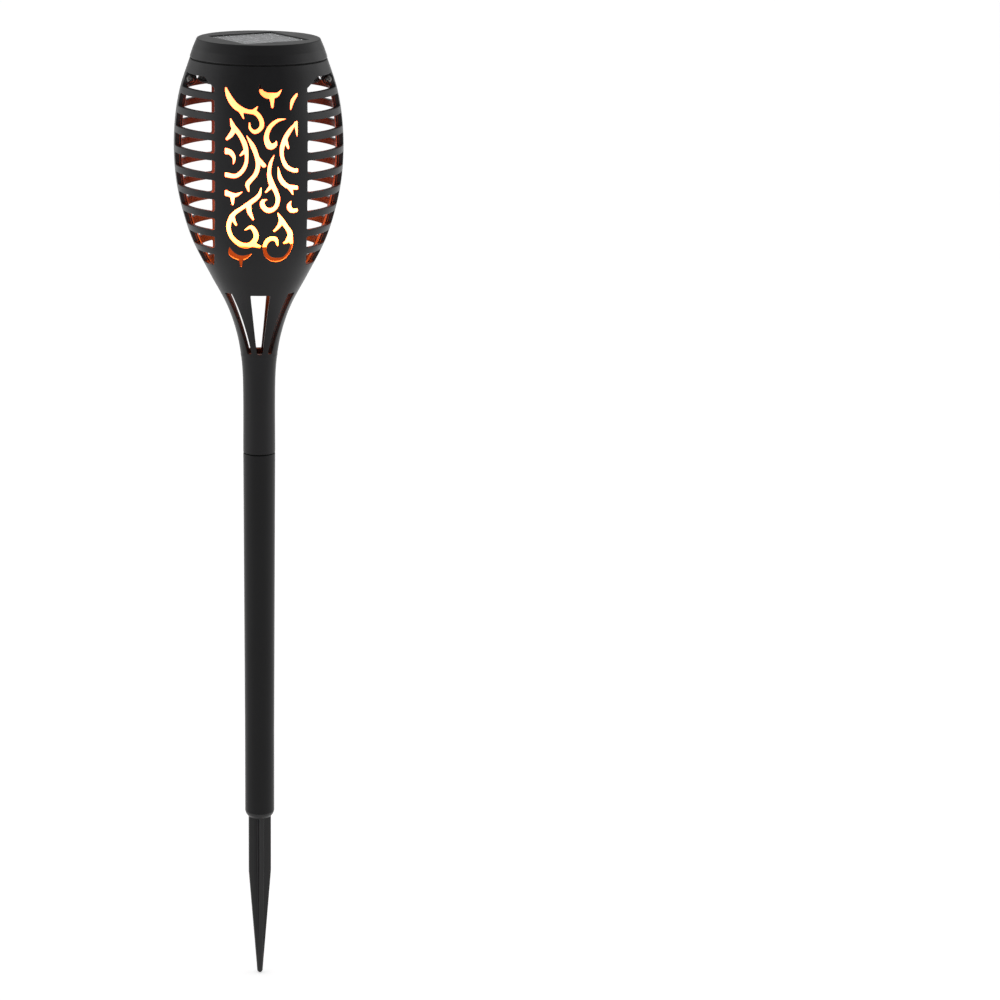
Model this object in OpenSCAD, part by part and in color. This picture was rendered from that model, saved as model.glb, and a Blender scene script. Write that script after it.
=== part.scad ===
/* [Overall] */
// Height from the spike's tip to the top of the cap
total_h = 485; // [475:1:495]
// Widest diameter of the cage
cage_d = 83; // [81:0.5:85]
// Length of the spike below the pole
spike_h = 86; // [80:1:92]

/* [Cage] */
// Thickness of the cage's wall
wall = 2.3; // [2.1:0.1:2.4]
// Outer radius of the neck under the cage
neck_r = 8; // [7.9:0.1:8.2]
// Depth of the joint between neck and pole, below the cap's top
seam_depth = 207; // [206:1:212]
// Number of side slots in each quarter of the cage
slot_count = 9; // [7:1:9]
// Distance from one side slot to the next
slot_pitch = 9.6; // [9.5:0.1:9.7]
// Height of a side slot
slot_h = 6.1; // [5.5:0.1:6.3]
// Half the width of the scroll panel between the slots
panel_half = 22.3; // [21.5:0.1:23]
// Half the thickness of the side pillar between front and rear slots
pillar_half = 6.5; // [6:0.1:7]

/* [Cap] */
// Height of the cap's side
cap_h = 9.2; // [9:0.1:9.4]
// Radius of the cap's flat top
cap_top_r = 30.1; // [29.8:0.1:30.3]
// Radius of the cap and the cage at the seam between them
rim_r = 33.4; // [33.2:0.1:33.6]
// Side of the square solar panel
panel_side = 35.4; // [34:0.1:36]
// Turn of the solar panel about the axis
panel_turn = 29; // [0:1:45]
// Turn that frees the cap from the cage
twist_angle = 20; // [15:1:25]

/* [Light] */
// Outer radius of the frosted diffuser
diffuser_r = 21; // [20.5:0.1:21]
// Height of the diffuser
diffuser_h = 88; // [84:1:90]
// Radius of the battery cell
cell_r = 7.15; // [7:0.05:7.15]
// Columns of light chips around the post
led_columns = 4; // [3:1:6]
// Rows of light chips along the post
led_rows = 3; // [2:1:4]

/* [Pole] */
// Radius of the pole's straight lower end
shank_r = 7.45; // [7.4:0.05:7.6]
// Length of that straight end
shank_h = 42; // [40:1:60]
// Radius of the bore that takes the neck and the spike
bore_r = 6.4; // [6.3:0.05:6.5]
// Width of the spike across two blades
blade_w = 11.5; // [10.5:0.1:12]
// Thickness of a spike blade
blade_t = 2.4; // [2:0.1:3]

/* [Hidden] */
$fn = 96;

shell_black = [0.17, 0.17, 0.18];
pole_black = [0.13, 0.13, 0.135];
fit_gap = 0.05;
free_gap = 0.3;

// Heights along the axis; the pole's lower end is at 0
cap_z = total_h - spike_h;
cap_low_z = cap_z - cap_h;
rim_z = cap_low_z - 0.5;
seam_z = cap_z - seam_depth;
collar_h = 3;
spigot_h = 22;
plug_h = 25;
blade_turn = 9;

// Outer profile of the cage and neck: [depth below the cap's top, radius]
cage_stations = [[cap_h + 0.5, rim_r + 0.1], [24, 38.2], [38, 40.7], [54, cage_d / 2], [70, 40.4],
  [86, 37], [100, 32.3], [116, 24.2], [132, 15.8], [146, 11.1], [160, 8.7], [174, neck_r],
  [seam_depth, neck_r]];
profile_steps = 2;

// A smooth curve through stations [t, value]: each slope is that of the chord over its neighbours
function slope(s, i) = let (a = max(i - 1, 0), b = min(i + 1, len(s) - 1))
  (s[b][1] - s[a][1]) / (s[b][0] - s[a][0]);
function hermite(s, i, f) = let (d = s[i + 1][0] - s[i][0])
  (1 + 2 * f) * pow(1 - f, 2) * s[i][1] + f * pow(1 - f, 2) * d * slope(s, i)
  + f * f * (3 - 2 * f) * s[i + 1][1] + f * f * (f - 1) * d * slope(s, i + 1);
function smooth(s, steps) = [for (i = [0 : len(s) - 2], k = [0 : steps - 1])
  [s[i][0] + (s[i + 1][0] - s[i][0]) * k / steps, hermite(s, i, k / steps)]];
function reversed(p) = [for (i = [len(p) - 1 : -1 : 0]) p[i]];

cage_curve = smooth(cage_stations, profile_steps);
spigot_r = bore_r - fit_gap;
spigot_bore_r = 4.6;

// The scroll pattern: each stroke is a list of [across, down, width] in the panel,
// measured from the panel's middle line and from the pattern's top
scroll_depth = 18;
scroll = [
  [[-17, 1.2, .3], [-16.2, 4.2, 1.8], [-14.2, 8, 2.8], [-11.2, 11, 3], [-6.8, 12.5, 2],
    [-2.8, 13.2, 2.2], [-.2, 16.5, 2], [-.2, 20, 2], [-3.2, 22.2, 1.8], [-5.5, 20.5, 1.2],
    [-5.8, 17.8, .5]],
  [[-10.2, 11.5, 2.5], [-8.5, 16.2, .3]],
  [[-3.5, 12.2, 1.8], [-1.8, 10, .3]],
  [[-.8, 0, .3], [.2, 3.5, 2], [2.5, 5, 2.8], [5, 5.2, 2.8], [7.5, 4.8, 2], [9.8, 2.5, .3]],
  [[5, 5.5, 2.5], [5.2, 10.5, 1]],
  [[17.2, 5, 1.2], [15, 7.8, 1.8], [14, 12, .4]],
  [[-14.8, 16, .3], [-13.5, 19.8, 2.2], [-10.5, 23.5, 2], [-8, 28.5, 2.2], [-7.2, 34.8, 1.5],
    [-8.5, 39.8, 1.8], [-12.2, 43.5, 2], [-17.5, 43.2, 2.4]],
  [[-13.2, 21.2, 2], [-14.5, 23.8, 2.2], [-16.5, 26, 1.2]],
  [[-8, 31.5, 2], [-10.2, 33.5, .8]],
  [[-17.5, 31.8, 3.2], [-15, 32.2, 2.5], [-13.2, 34.8, 1.5], [-13.5, 38, .3]],
  [[-7.2, 24, .3], [-4.5, 28.5, 2], [-2.5, 33.5, 2], [-1.8, 38, 2], [-2.8, 42.2, 2],
    [-4.5, 44.5, 2], [-6.8, 47.5, 2], [-6.2, 51, .5]],
  [[-1.5, 35.2, 1.8], [1, 38.2, 2]],
  [[11.5, 16.2, .4], [7.8, 16.8, 1.5], [4, 19.8, 2], [2.2, 24.8, 2.2], [3.8, 29, 3],
    [6.2, 28.5, 2.2], [7, 26.5, .4]],
  [[17.2, 17.5, .3], [14.2, 21, 1.8], [11.5, 25, 2.2], [9.8, 29.8, 2], [9.8, 34.2, 1.6],
    [11.8, 38.8, 2], [15.2, 41, 2], [17.5, 41.2, 2.1]],
  [[16.5, 18.5, 1.8], [17.2, 25, .3]],
  [[11.2, 26, 2], [12.8, 30.2, .8]],
  [[6, 33.2, .3], [4.2, 37.2, 1.5], [3.5, 42.2, 1.8], [4.5, 46.5, 2.5], [6.5, 50.5, 2],
    [7.8, 54.8, 2], [6.5, 59.2, 2], [3.2, 60.5, 2.5], [.5, 58.2, 2.2], [.5, 55.8, 1.8],
    [2.5, 55, .4]],
  [[4.5, 48.5, 2], [2, 51.2, .8]],
  [[7.8, 39, .3], [9, 44.8, 2], [12.2, 48.5, 2.2], [17.5, 49.8, 2.1]],
  [[13.8, 49.8, 2], [15.2, 53.2, .3]],
  [[-17.5, 52.2, 3], [-14.2, 53, 2.2], [-12.2, 53, 1.8], [-9.2, 51.2, .3]],
  [[-14, 53.5, 2.2], [-13.8, 57.8, .8]],
  [[14.2, 56.2, .4], [13.2, 58.5, 2], [14.5, 61, 2.2], [17.5, 61, 1.9]],
  [[-.2, 49, .4], [-1.5, 53, 1.8], [-5, 56.2, 2.2], [-9.2, 59.2, 1.8], [-13.2, 62.5, 2],
    [-15.5, 67.2, 2], [-15.5, 71.5, 1.8], [-13.5, 75.5, 2], [-9, 78.5, 2.5], [-4.8, 77.8, 2.5],
    [-2.5, 73.5, 2.2], [-4.8, 69, 1.8], [-8, 70.5, .5]],
  [[-4.2, 77.8, 2.5], [-1, 79, 1.5]],
  [[-6.2, 58, 2.2], [-5.8, 61.5, 2], [-4, 65, .8]],
  [[-14.2, 64, 2.2], [-12.2, 68.2, .8]],
  [[7.8, 61.8, .3], [9.5, 65.2, 2], [11.8, 68.8, 2], [13.8, 72.2, 2.2], [14.2, 76, 2.2],
    [14.8, 78.5, 1.2], [13.5, 82.5, 1.2], [10.8, 85.5, 1.5], [7.2, 86.2, 2.2], [3.8, 85, 2],
    [1.8, 81.8, 1.8], [1.8, 78, 1.8], [3.8, 75.2, 2.2], [6.8, 75.2, 2], [8, 78.8, .5]],
  [[9.5, 65.8, 2], [8.5, 68.5, 1.8], [6.2, 71, 1]],
  [[14, 73.5, 2.2], [12.8, 76.5, 2.2], [11, 77.5, .8]],
  [[-15.2, 80.2, .4], [-14.5, 83, 2.5], [-11.5, 85, 2.5], [-8.2, 85, 2.2], [-4.5, 82.8, .3]],
  [[-9.8, 85.5, 2.2], [-9.5, 89.8, .8]]];

// Outline of a stroke: its points moved half the width to each side
function side_way(p, i) = let (a = p[max(i - 1, 0)], b = p[min(i + 1, len(p) - 1)],
  d = [b[0] - a[0], b[1] - a[1]]) [-d[1], d[0]] / norm(d);
function stroke_side(p, s) = [for (i = [0 : len(p) - 1])
  [p[i][0], p[i][1]] + side_way(p, i) * s * p[i][2] / 2];
function stroke_outline(p) = concat(stroke_side(p, 1), reversed(stroke_side(p, -1)));

// Depths of the side slots' middles and the taller slot above them
first_slot = 29.1;
top_slot = [16, 22.7];
// Slits of the funnel: [azimuth of the cut, half width at the top, shift there,
// half width at the bottom, shift there]
slit_depth = [124, 155.5];
slits = [[0, 5.2, 0, 1.65, 0], [42, 2.5, 3.4, 1.1, -1.4], [-42, 2.5, -3.4, 1.1, 1.4]];

boss_x = 33.2;
boss_depth = 19;
boss_r = 2.4;
boss_l = 8;
screw_r = 0.98;
lug_angle = 10;
lug_gap = 0.8;
lug_z = 384;
lug_h = 2.5;
mouth_r = rim_r + 0.1 - wall;
plug_r = mouth_r - free_gap;

plate_z = cap_low_z - 2.4;
plate_t = 1.8;
post_ring = 25.5;
pocket_floor_z = cap_z - 2.8;
cap_plate_t = 1.4;
board_z = plate_z + plate_t + 1.4;
board_t = 1.2;
board_size = [34, 18];
stake = [14, 6];
switch_y = 26;
button_r = 1.9;
backing_t = 0.8;
cells_t = 0.25;
busbar_t = 0.1;
strip_count = 4;
collar_low_z = cap_z - 22.1;
led_post_r = cell_r + 1.45;
led_board_t = 0.4;
post_low_z = plate_z - 60;
post_flange_t = 1.6;
post_screw_x = 10.6;
cell_z = post_low_z + 6.2;
cell_h = 49;
wire_r = 0.5;
wire_lane = 14;

// A round tube along a list of points: rings of corners across the path, and its facets.
// side is a direction that the path never takes
function way(p, i) = let (a = p[max(i - 1, 0)], b = p[min(i + 1, len(p) - 1)]) (b - a) / norm(b - a);
function ring(p, i, r, side, n) = let (t = way(p, i), a = cross(t, side) / norm(cross(t, side)),
  b = cross(t, a)) [for (k = [0 : n - 1]) p[i] + r * (cos(360 * k / n) * a + sin(360 * k / n) * b)];
module tube(p, r, side, n = 8) {
  rings = len(p);
  corners = [for (i = [0 : rings - 1]) each ring(p, i, r, side, n)];
  sides = [for (i = [0 : rings - 2], k = [0 : n - 1])
    [i * n + k, i * n + (k + 1) % n, (i + 1) * n + (k + 1) % n, (i + 1) * n + k]];
  ends = [[for (k = [n - 1 : -1 : 0]) k], [for (k = [0 : n - 1]) (rings - 1) * n + k]];
  polyhedron(corners, concat(sides, ends));
}

// A solid of revolution from [radius, height] points
module turned(points) { rotate_extrude() polygon(points); }
module at_ring(r, angles) { for (a = angles) rotate(a) translate([r, 0, 0]) children(); }

module ground_spike() color(pole_black) {
  half = blade_w / 2;
  tip_half = 1.4;
  straight = 30;
  blade = [[-half, 0.5], [-half, -straight], [-tip_half, 1 - spike_h], [-tip_half / 2, -spike_h],
    [tip_half / 2, -spike_h], [tip_half, 1 - spike_h], [half, -straight], [half, 0.5]];
  turned([[0, 0], [half + 0.1, 0], [shank_r - 0.5, 1.5], [shank_r, collar_h],
    [spigot_r, collar_h], [spigot_r, collar_h + plug_h - 1], [spigot_r - 1, collar_h + plug_h],
    [0, collar_h + plug_h]]);
  for (a = [0, 90]) rotate([90, 0, a + blade_turn]) translate([0, 0, -blade_t / 2])
    linear_extrude(blade_t) polygon(blade);
}

module pole_tube() color(pole_black) difference() {
  top_z = seam_z - free_gap;
  union() {
    translate([0, 0, collar_h]) cylinder(r = shank_r, h = shank_h);
    translate([0, 0, collar_h + shank_h])
      cylinder(r1 = shank_r, r2 = neck_r, h = top_z - collar_h - shank_h);
  }
  translate([0, 0, -1]) cylinder(r = bore_r, h = total_h / 2);
}

// Half of the cage, neck and spigot, on the front side of the axis
module half_wall() {
  outer = [for (s = cage_curve) [s[1], cap_z - s[0]]];
  inner = [for (s = cage_curve) [s[1] - wall, cap_z - s[0]]];
  foot = [[neck_r, seam_z], [spigot_r, seam_z], [spigot_r, seam_z - spigot_h],
    [spigot_bore_r, seam_z - spigot_h], [spigot_bore_r, seam_z + 4], [neck_r - wall, seam_z + 6]];
  rotate(180) rotate_extrude(angle = 180) polygon(concat(outer, foot, reversed(inner)));
}

module side_slots() {
  spans = concat([top_slot], [for (k = [0 : slot_count - 1])
    [first_slot + k * slot_pitch - slot_h / 2, first_slot + k * slot_pitch + slot_h / 2]]);
  for (s = spans, x = [panel_half, -panel_half - 30])
    translate([x, -60, cap_z - s[1]]) cube([30, 60 - pillar_half, s[1] - s[0]]);
}

module scroll_cuts() {
  translate([0, -10, cap_z - scroll_depth]) rotate([90, 0, 0]) linear_extrude(40)
    for (p = scroll) polygon([for (q = stroke_outline(p)) [q[0], -q[1]]]);
}

module funnel_slits() {
  for (s = slits) rotate(s[0]) translate([0, -2, cap_z]) rotate([90, 0, 0]) linear_extrude(30)
    polygon([[s[2] - s[1], -slit_depth[0]], [s[4] - s[3], -slit_depth[1]],
      [s[4] + s[3], -slit_depth[1]], [s[2] + s[1], -slit_depth[0]]]);
}

// Three notches inside the mouth in which the cap's lugs turn
module mouth_notches() {
  for (a = [0 : 120 : 240]) rotate(a + 30 - lug_gap)
    translate([0, 0, lug_z - free_gap]) rotate_extrude(angle = lug_angle + twist_angle + 2 * lug_gap)
      translate([mouth_r - 2, 0]) square([3.2, 10]);
}

module at_bosses(y) {
  for (x = [-boss_x, boss_x]) translate([x, y, cap_z - boss_depth]) rotate([90, 0, 0]) children();
}

module half_shell(hole_r, hole_l) difference() {
  union() {
    difference() {
      half_wall();
      side_slots();
      scroll_cuts();
      funnel_slits();
    }
    at_bosses(0) cylinder(r = boss_r, h = boss_l);
  }
  at_bosses(1) cylinder(r = hole_r, h = hole_l + 1);
}

module front_shell() color(shell_black) difference() {
  half_shell(screw_r + 0.17, boss_l + 1);
  mouth_notches();
}

module rear_shell() color(shell_black) difference() {
  rotate(180) half_shell(screw_r + 0.02, boss_l - 2);
  mouth_notches();
}

module shell_screws() color("silver") at_bosses(-boss_l) {
  translate([0, 0, -13.5]) cylinder(r = screw_r, h = 13.6);
  cylinder(r = 1.9, h = 1.2);
}

module seal_ring() color([0.1, 0.1, 0.1]) turned([[rim_r - 1.8, rim_z + fit_gap],
  [rim_r - 0.4, rim_z + fit_gap], [rim_r - 0.4, cap_low_z - fit_gap],
  [rim_r - 1.8, cap_low_z - fit_gap]]);

module cap_shell() color(shell_black) difference() {
  inner_z = pocket_floor_z - cap_plate_t;
  union() {
    turned([[0, cap_z], [cap_top_r - 1, cap_z], [cap_top_r - 0.3, cap_z - 0.3],
      [cap_top_r, cap_z - 1], [(cap_top_r + rim_r) / 2 + 0.25, cap_z - cap_h / 2],
      [rim_r, cap_low_z], [rim_r - 2, cap_low_z], [cap_top_r - 1.5, inner_z], [0, inner_z]]);
    at_ring(post_ring, [30, 150, 270]) translate([0, 0, cap_low_z - 0.4])
      cylinder(r = 2.5, h = inner_z - cap_low_z + 1);
  }
  rotate(panel_turn) translate([-panel_side / 2 - 0.3, -panel_side / 2 - 0.3, pocket_floor_z])
    cube([panel_side + 0.6, panel_side + 0.6, 5]);
  translate([0, 6, inner_z - 1]) cylinder(r = 2.5, h = 4);
  at_ring(post_ring, [30, 150, 270]) translate([0, 0, cap_low_z - 1])
    cylinder(r = screw_r + 0.02, h = 5);
}

module cap_base() color(shell_black) difference() {
  union() {
    translate([0, 0, plate_z]) cylinder(r = plug_r, h = plate_t);
    difference() {
      translate([0, 0, lug_z - 1]) cylinder(r = plug_r, h = plate_z - lug_z + 1);
      translate([0, 0, lug_z - 2]) cylinder(r = plug_r - 1.7, h = plate_z - lug_z + 2);
    }
    for (a = [0 : 120 : 240]) rotate(a + 30) translate([0, 0, lug_z])
      rotate_extrude(angle = lug_angle) translate([plug_r - 1, 0]) square([1.9, lug_h]);
    for (x = [-1, 1], y = [-1, 1]) translate([x * stake[0], y * stake[1], plate_z + plate_t - 0.1]) {
      cylinder(r = 1.8, h = 1.5);
      cylinder(r = 0.8, h = 3.2);
    }
  }
  at_ring(post_ring, [30, 150, 270]) translate([0, 0, plate_z - 1])
    cylinder(r = screw_r + 0.2, h = 4);
  translate([0, switch_y, plate_z - 1]) cylinder(r = button_r + free_gap, h = 4);
  at_ring(wire_lane, [0, 270]) translate([0, 0, plate_z - 1]) cylinder(r = 1.3, h = 4);
  translate([4.5, 0, plate_z - 1]) cylinder(r = 1.3, h = 4);
  at_ring(post_screw_x, [0, 180]) translate([0, 0, plate_z - 1]) cylinder(r = 0.92, h = 4);
}

module base_screws() color("silver") at_ring(post_ring, [30, 150, 270])
  translate([0, 0, plate_z]) {
    translate([0, 0, -1.2]) cylinder(r = 1.9, h = 1.2);
    translate([0, 0, -0.1]) cylinder(r = screw_r, h = 5.5);
  }

module panel_plate(side, z, t) rotate(panel_turn)
  translate([-side / 2, -side / 2, z]) cube([side, side, t]);

module solar_backing() color([0.1, 0.25, 0.2]) difference() {
  panel_plate(panel_side, pocket_floor_z, backing_t);
  translate([0, 6, pocket_floor_z - 1]) cylinder(r = 1.9, h = 1.5);
}

module solar_cells() color([0.08, 0.1, 0.2]) {
  strip = (panel_side - 1.4) / strip_count;
  for (k = [0 : strip_count - 1]) rotate(panel_turn)
    translate([(k - strip_count / 2) * strip + 0.2, -panel_side / 2 + 0.9, pocket_floor_z + backing_t])
      cube([strip - 0.4, panel_side - 1.8, cells_t]);
}

module solar_busbars() color("silver") {
  strip = (panel_side - 1.4) / strip_count;
  for (k = [0 : strip_count - 1]) rotate(panel_turn)
    translate([(k - strip_count / 2 + 0.5) * strip - 0.4, -panel_side / 2 + 1.2,
      pocket_floor_z + backing_t + cells_t]) cube([0.8, panel_side - 2.4, busbar_t]);
}

module solar_cover() color([0.7, 0.72, 0.75, 0.4])
  panel_plate(panel_side, pocket_floor_z + backing_t + cells_t + busbar_t, 0.65);

module control_board() color([0.05, 0.3, 0.15]) difference() {
  translate([-board_size[0] / 2, -board_size[1] / 2, board_z])
    cube([board_size[0], board_size[1], board_t]);
  for (x = [-1, 1], y = [-1, 1]) translate([x * stake[0], y * stake[1], board_z - 1])
    cylinder(r = 0.85, h = 4);
}

module board_chip() color([0.08, 0.08, 0.08])
  translate([-10, -2.5, board_z + board_t]) cube([5, 4, 1.4]);

module board_inductor() color([0.25, 0.22, 0.2])
  translate([9, 4, board_z + board_t]) cylinder(r = 2.2, h = 2.3);

module board_capacitor() color([0.6, 0.6, 0.62])
  translate([5, -5, board_z + board_t]) cylinder(r = 1.9, h = 2.2);

module switch_body() color([0.12, 0.12, 0.12]) difference() {
  translate([-2.5, switch_y - 2.5, plate_z + plate_t]) cube([5, 5, 4]);
  translate([0, switch_y, plate_z + plate_t - 1]) cylinder(r = button_r + free_gap, h = 3.3);
}

module switch_button() color([0.75, 0.1, 0.08]) translate([0, switch_y, plate_z - 2])
  cylinder(r = button_r, h = 4.6);

module diffuser_collar() color([0.08, 0.08, 0.08]) difference() {
  translate([0, 0, collar_low_z]) cylinder(r = diffuser_r + 2.2, h = plate_z - collar_low_z);
  translate([0, 0, collar_low_z - 1]) cylinder(r = diffuser_r + 0.1, h = 20);
}

module diffuser() color([0.93, 0.92, 0.88, 0.6]) {
  low = plate_z - 0.4 - diffuser_h;
  high = plate_z - 0.4;
  round_r = 4;
  skin = 1.2;
  bend = [for (a = [0 : 15 : 90]) [sin(a), 1 - cos(a)]];
  turned(concat([[0, low]],
    [for (b = bend) [diffuser_r - round_r + round_r * b[0], low + round_r * b[1]]],
    [[diffuser_r, high], [diffuser_r - skin, high]],
    reversed([for (b = bend) [diffuser_r - round_r + (round_r - skin) * b[0],
      low + skin + (round_r - skin) * b[1]]]), [[0, low + skin]]));
}

module led_post() color([0.9, 0.9, 0.88]) difference() {
  union() {
    translate([0, 0, post_low_z]) cylinder(r = led_post_r, h = plate_z - post_low_z);
    translate([0, 0, plate_z - post_flange_t]) cylinder(r = 12.5, h = post_flange_t);
  }
  translate([0, 0, post_low_z - 1]) cylinder(r = cell_r + 0.25, h = 70);
  at_ring(post_screw_x, [0, 180]) translate([0, 0, plate_z - 5]) cylinder(r = 1.1, h = 6);
}

module post_screws() color("silver") at_ring(post_screw_x, [0, 180])
  translate([0, 0, plate_z - post_flange_t]) {
    translate([0, 0, -1]) cylinder(r = 1.7, h = 1);
    translate([0, 0, -0.1]) cylinder(r = 0.9, h = 3.3);
  }

module post_plug() color([0.9, 0.9, 0.88]) {
  translate([0, 0, post_low_z - 3]) cylinder(r = led_post_r, h = 3);
  translate([0, 0, post_low_z - 0.1]) cylinder(r = cell_r + 0.2, h = 2.1);
}

module led_board() color([0.85, 0.75, 0.5]) difference() {
  translate([0, 0, post_low_z + 5]) cylinder(r = led_post_r + led_board_t, h = 48);
  translate([0, 0, post_low_z + 4]) cylinder(r = led_post_r + fit_gap, h = 50);
}

module led_chips() color([1, 0.85, 0.3])
  for (r = [0 : led_rows - 1], c = [0 : led_columns - 1])
    rotate(360 / led_columns * (c + 0.5 * (r % 2)))
      translate([led_post_r + led_board_t + fit_gap, -1.4, post_low_z + 12 + r * 16])
        cube([0.9, 2.8, 3.5]);

module battery() color([0.15, 0.45, 0.25]) translate([0, 0, cell_z]) {
  cylinder(r = cell_r, h = cell_h);
  translate([0, 0, cell_h - 0.1]) cylinder(r = 2.8, h = 1.6);
}

// A closing spring: three turns that narrow towards the battery
module battery_spring() color("silver") {
  turns = 3;
  steps = 12;
  low = post_low_z + 2.35;
  tube([for (k = [0 : turns * steps]) let (f = k / (turns * steps), a = 360 * k / steps)
    [(5.5 - 2 * f) * cos(a), (5.5 - 2 * f) * sin(a), low + 3.5 * f]], 0.3, [0, 0, 1]);
}

module battery_contact() color("gold") translate([0, 0, cell_z + cell_h + 1.5])
  cylinder(r = 6.5, h = 0.4);

// Wires: lists of points from one end to the other, each end just clear of its joint
wire_end = 0.02;
contact_z = cell_z + cell_h + 1.9;
board_top = board_z + board_t;
panel_route = [[1.1, 6, pocket_floor_z + 0.4], [1.1, 6, pocket_floor_z - 1.5],
  [1.6, 6.2, pocket_floor_z - 2.4], [2.8, 6.6, pocket_floor_z - 2.8], [4.2, 7, board_top + 0.9],
  [4.2, 7, board_top + wire_end]];
red_route = [[4.5, 0, contact_z], [4.5, 0, plate_z], [4.8, -0.6, board_z - 0.9],
  [4.8, -0.6, board_z - wire_end]];
black_route = [[0, -4, post_low_z - 3 - wire_end], [0, -4, post_low_z - 4], [0, -6, post_low_z - 5],
  [0, -11, post_low_z - 4.6], [0, -13.4, post_low_z - 3], [0, -wire_lane, post_low_z],
  [0, -wire_lane, plate_z + 1.7], [0, 1 - wire_lane, board_z - 0.9],
  [0, 4.6 - wire_lane, board_z - 0.75], [0, 5.4 - wire_lane, board_z - 0.6],
  [0, 5.4 - wire_lane, board_z - wire_end]];
led_route = [[led_post_r + 0.95, 0, post_low_z + 51], [led_post_r + 1.3, 0, post_low_z + 53],
  [wire_lane - 1.6, 0, plate_z - 5], [wire_lane, 0, plate_z - 2.5], [wire_lane, 0, plate_z + 1],
  [wire_lane - 0.3, 0, board_z - 0.9], [wire_lane - 0.3, 0, board_z - wire_end]];
function mirrored(p) = [for (q = p) [-q[0], q[1], q[2]]];
function moved(p, v) = [for (q = p) q + v];

module panel_wire_red() color("red") tube(panel_route, wire_r, [0, 1, 0]);
module panel_wire_black() color([0.1, 0.1, 0.1]) tube(mirrored(panel_route), wire_r, [0, 1, 0]);
module battery_wire_red() color("red") tube(red_route, wire_r, [0, 1, 0]);
module battery_wire_black() color([0.1, 0.1, 0.1]) tube(black_route, wire_r, [1, 0, 0]);
module led_wires() color("white") for (y = [-0.75, 0, 0.75])
  tube(moved(led_route, [0, y, 0]), 0.35, [0, 1, 0]);

ground_spike();
pole_tube();
front_shell();
rear_shell();
shell_screws();
seal_ring();
cap_shell();
cap_base();
base_screws();
solar_backing();
solar_cells();
solar_busbars();
solar_cover();
control_board();
board_chip();
board_inductor();
board_capacitor();
switch_body();
switch_button();
diffuser_collar();
diffuser();
led_post();
post_screws();
post_plug();
led_board();
led_chips();
battery();
battery_spring();
battery_contact();
panel_wire_red();
panel_wire_black();
battery_wire_red();
battery_wire_black();
led_wires();
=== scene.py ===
"""A solar flame torch on a ground spike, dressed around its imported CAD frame.

Lengths inside the classes are millimetres in the frame's own axes: the torch stands on +Z, its front
scroll panel faces -Y and its ground line is at zero. A mesh becomes metres when it is made.
"""

import logging
import math
from abc import ABC, abstractmethod
from collections.abc import Sequence
from dataclasses import dataclass, field
from enum import Enum

import bpy
import numpy as np
from mathutils import Matrix, Vector
from mathutils.geometry import delaunay_2d_cdt


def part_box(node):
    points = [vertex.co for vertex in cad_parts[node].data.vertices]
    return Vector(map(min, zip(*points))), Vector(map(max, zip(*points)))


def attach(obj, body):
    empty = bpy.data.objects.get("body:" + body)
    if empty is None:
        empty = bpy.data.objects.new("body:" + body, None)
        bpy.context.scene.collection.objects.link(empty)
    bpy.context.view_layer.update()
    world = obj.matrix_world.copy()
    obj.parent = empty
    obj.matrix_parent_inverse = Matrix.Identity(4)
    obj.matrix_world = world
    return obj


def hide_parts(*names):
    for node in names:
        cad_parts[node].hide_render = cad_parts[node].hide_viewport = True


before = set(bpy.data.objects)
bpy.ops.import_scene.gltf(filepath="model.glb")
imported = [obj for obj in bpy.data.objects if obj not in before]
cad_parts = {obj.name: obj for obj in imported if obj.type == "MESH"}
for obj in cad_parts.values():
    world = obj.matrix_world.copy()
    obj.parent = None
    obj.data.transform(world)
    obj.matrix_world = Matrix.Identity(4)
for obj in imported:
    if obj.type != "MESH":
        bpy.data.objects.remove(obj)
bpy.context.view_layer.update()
LOG = logging.getLogger("torch")
METRE = 0.001
TURN = 2 * math.pi
WHITE = (1.0, 1.0, 1.0)


class Body(Enum):
    """The rigid bodies that pieces ride on."""

    SPIKE = "spike"
    POLE = "pole"
    HEAD = "head"
    SEAL = "seal"
    CAP = "cap"
    BUTTON = "button"


class Side(Enum):
    """The two faces of a wall, with the sign of the way out of the material."""

    OUTER = 1
    INNER = -1


# ---------------------------------------------------------------- shader maths


class Signal:
    """A shader socket that Python's operators do maths on."""

    def __init__(self, paint: "Paint", socket: bpy.types.NodeSocket) -> None:
        """Wraps a socket.

        Args:
            paint: The material that the socket belongs to.
            socket: The output socket.
        """
        self.paint = paint
        self.socket = socket

    def _math(self, operation: str, first: object, second: object = 0.0) -> "Signal":
        """One Math node on two values."""
        return self.paint.node("Math", {"operation": operation}, {0: first, 1: second})

    def __add__(self, other: object) -> "Signal":
        """The sum."""
        return self._math("ADD", self, other)

    __radd__ = __add__

    def __mul__(self, other: object) -> "Signal":
        """The product."""
        return self._math("MULTIPLY", self, other)

    __rmul__ = __mul__

    def __sub__(self, other: object) -> "Signal":
        """This less the other."""
        return self._math("SUBTRACT", self, other)

    def __rsub__(self, other: object) -> "Signal":
        """The other less this."""
        return self._math("SUBTRACT", other, self)

    def wave(self) -> "Signal":
        """The sine of this."""
        return self._math("SINE", self)

    def absolute(self) -> "Signal":
        """This without its sign."""
        return self._math("ABSOLUTE", self)

    def ramp(self, low: float, high: float, to_low: float = 0.0, to_high: float = 1.0) -> "Signal":
        """This carried smoothly from one range to another and held at its ends.

        Args:
            low: Where the new range starts.
            high: Where the new range ends.
            to_low: The value at low.
            to_high: The value at high.

        Returns:
            The carried value.
        """
        return self.paint.node(
            "MapRange",
            {"interpolation_type": "SMOOTHSTEP"},
            {"Value": self, "From Min": low, "From Max": high, "To Min": to_low, "To Max": to_high},
        )


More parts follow.
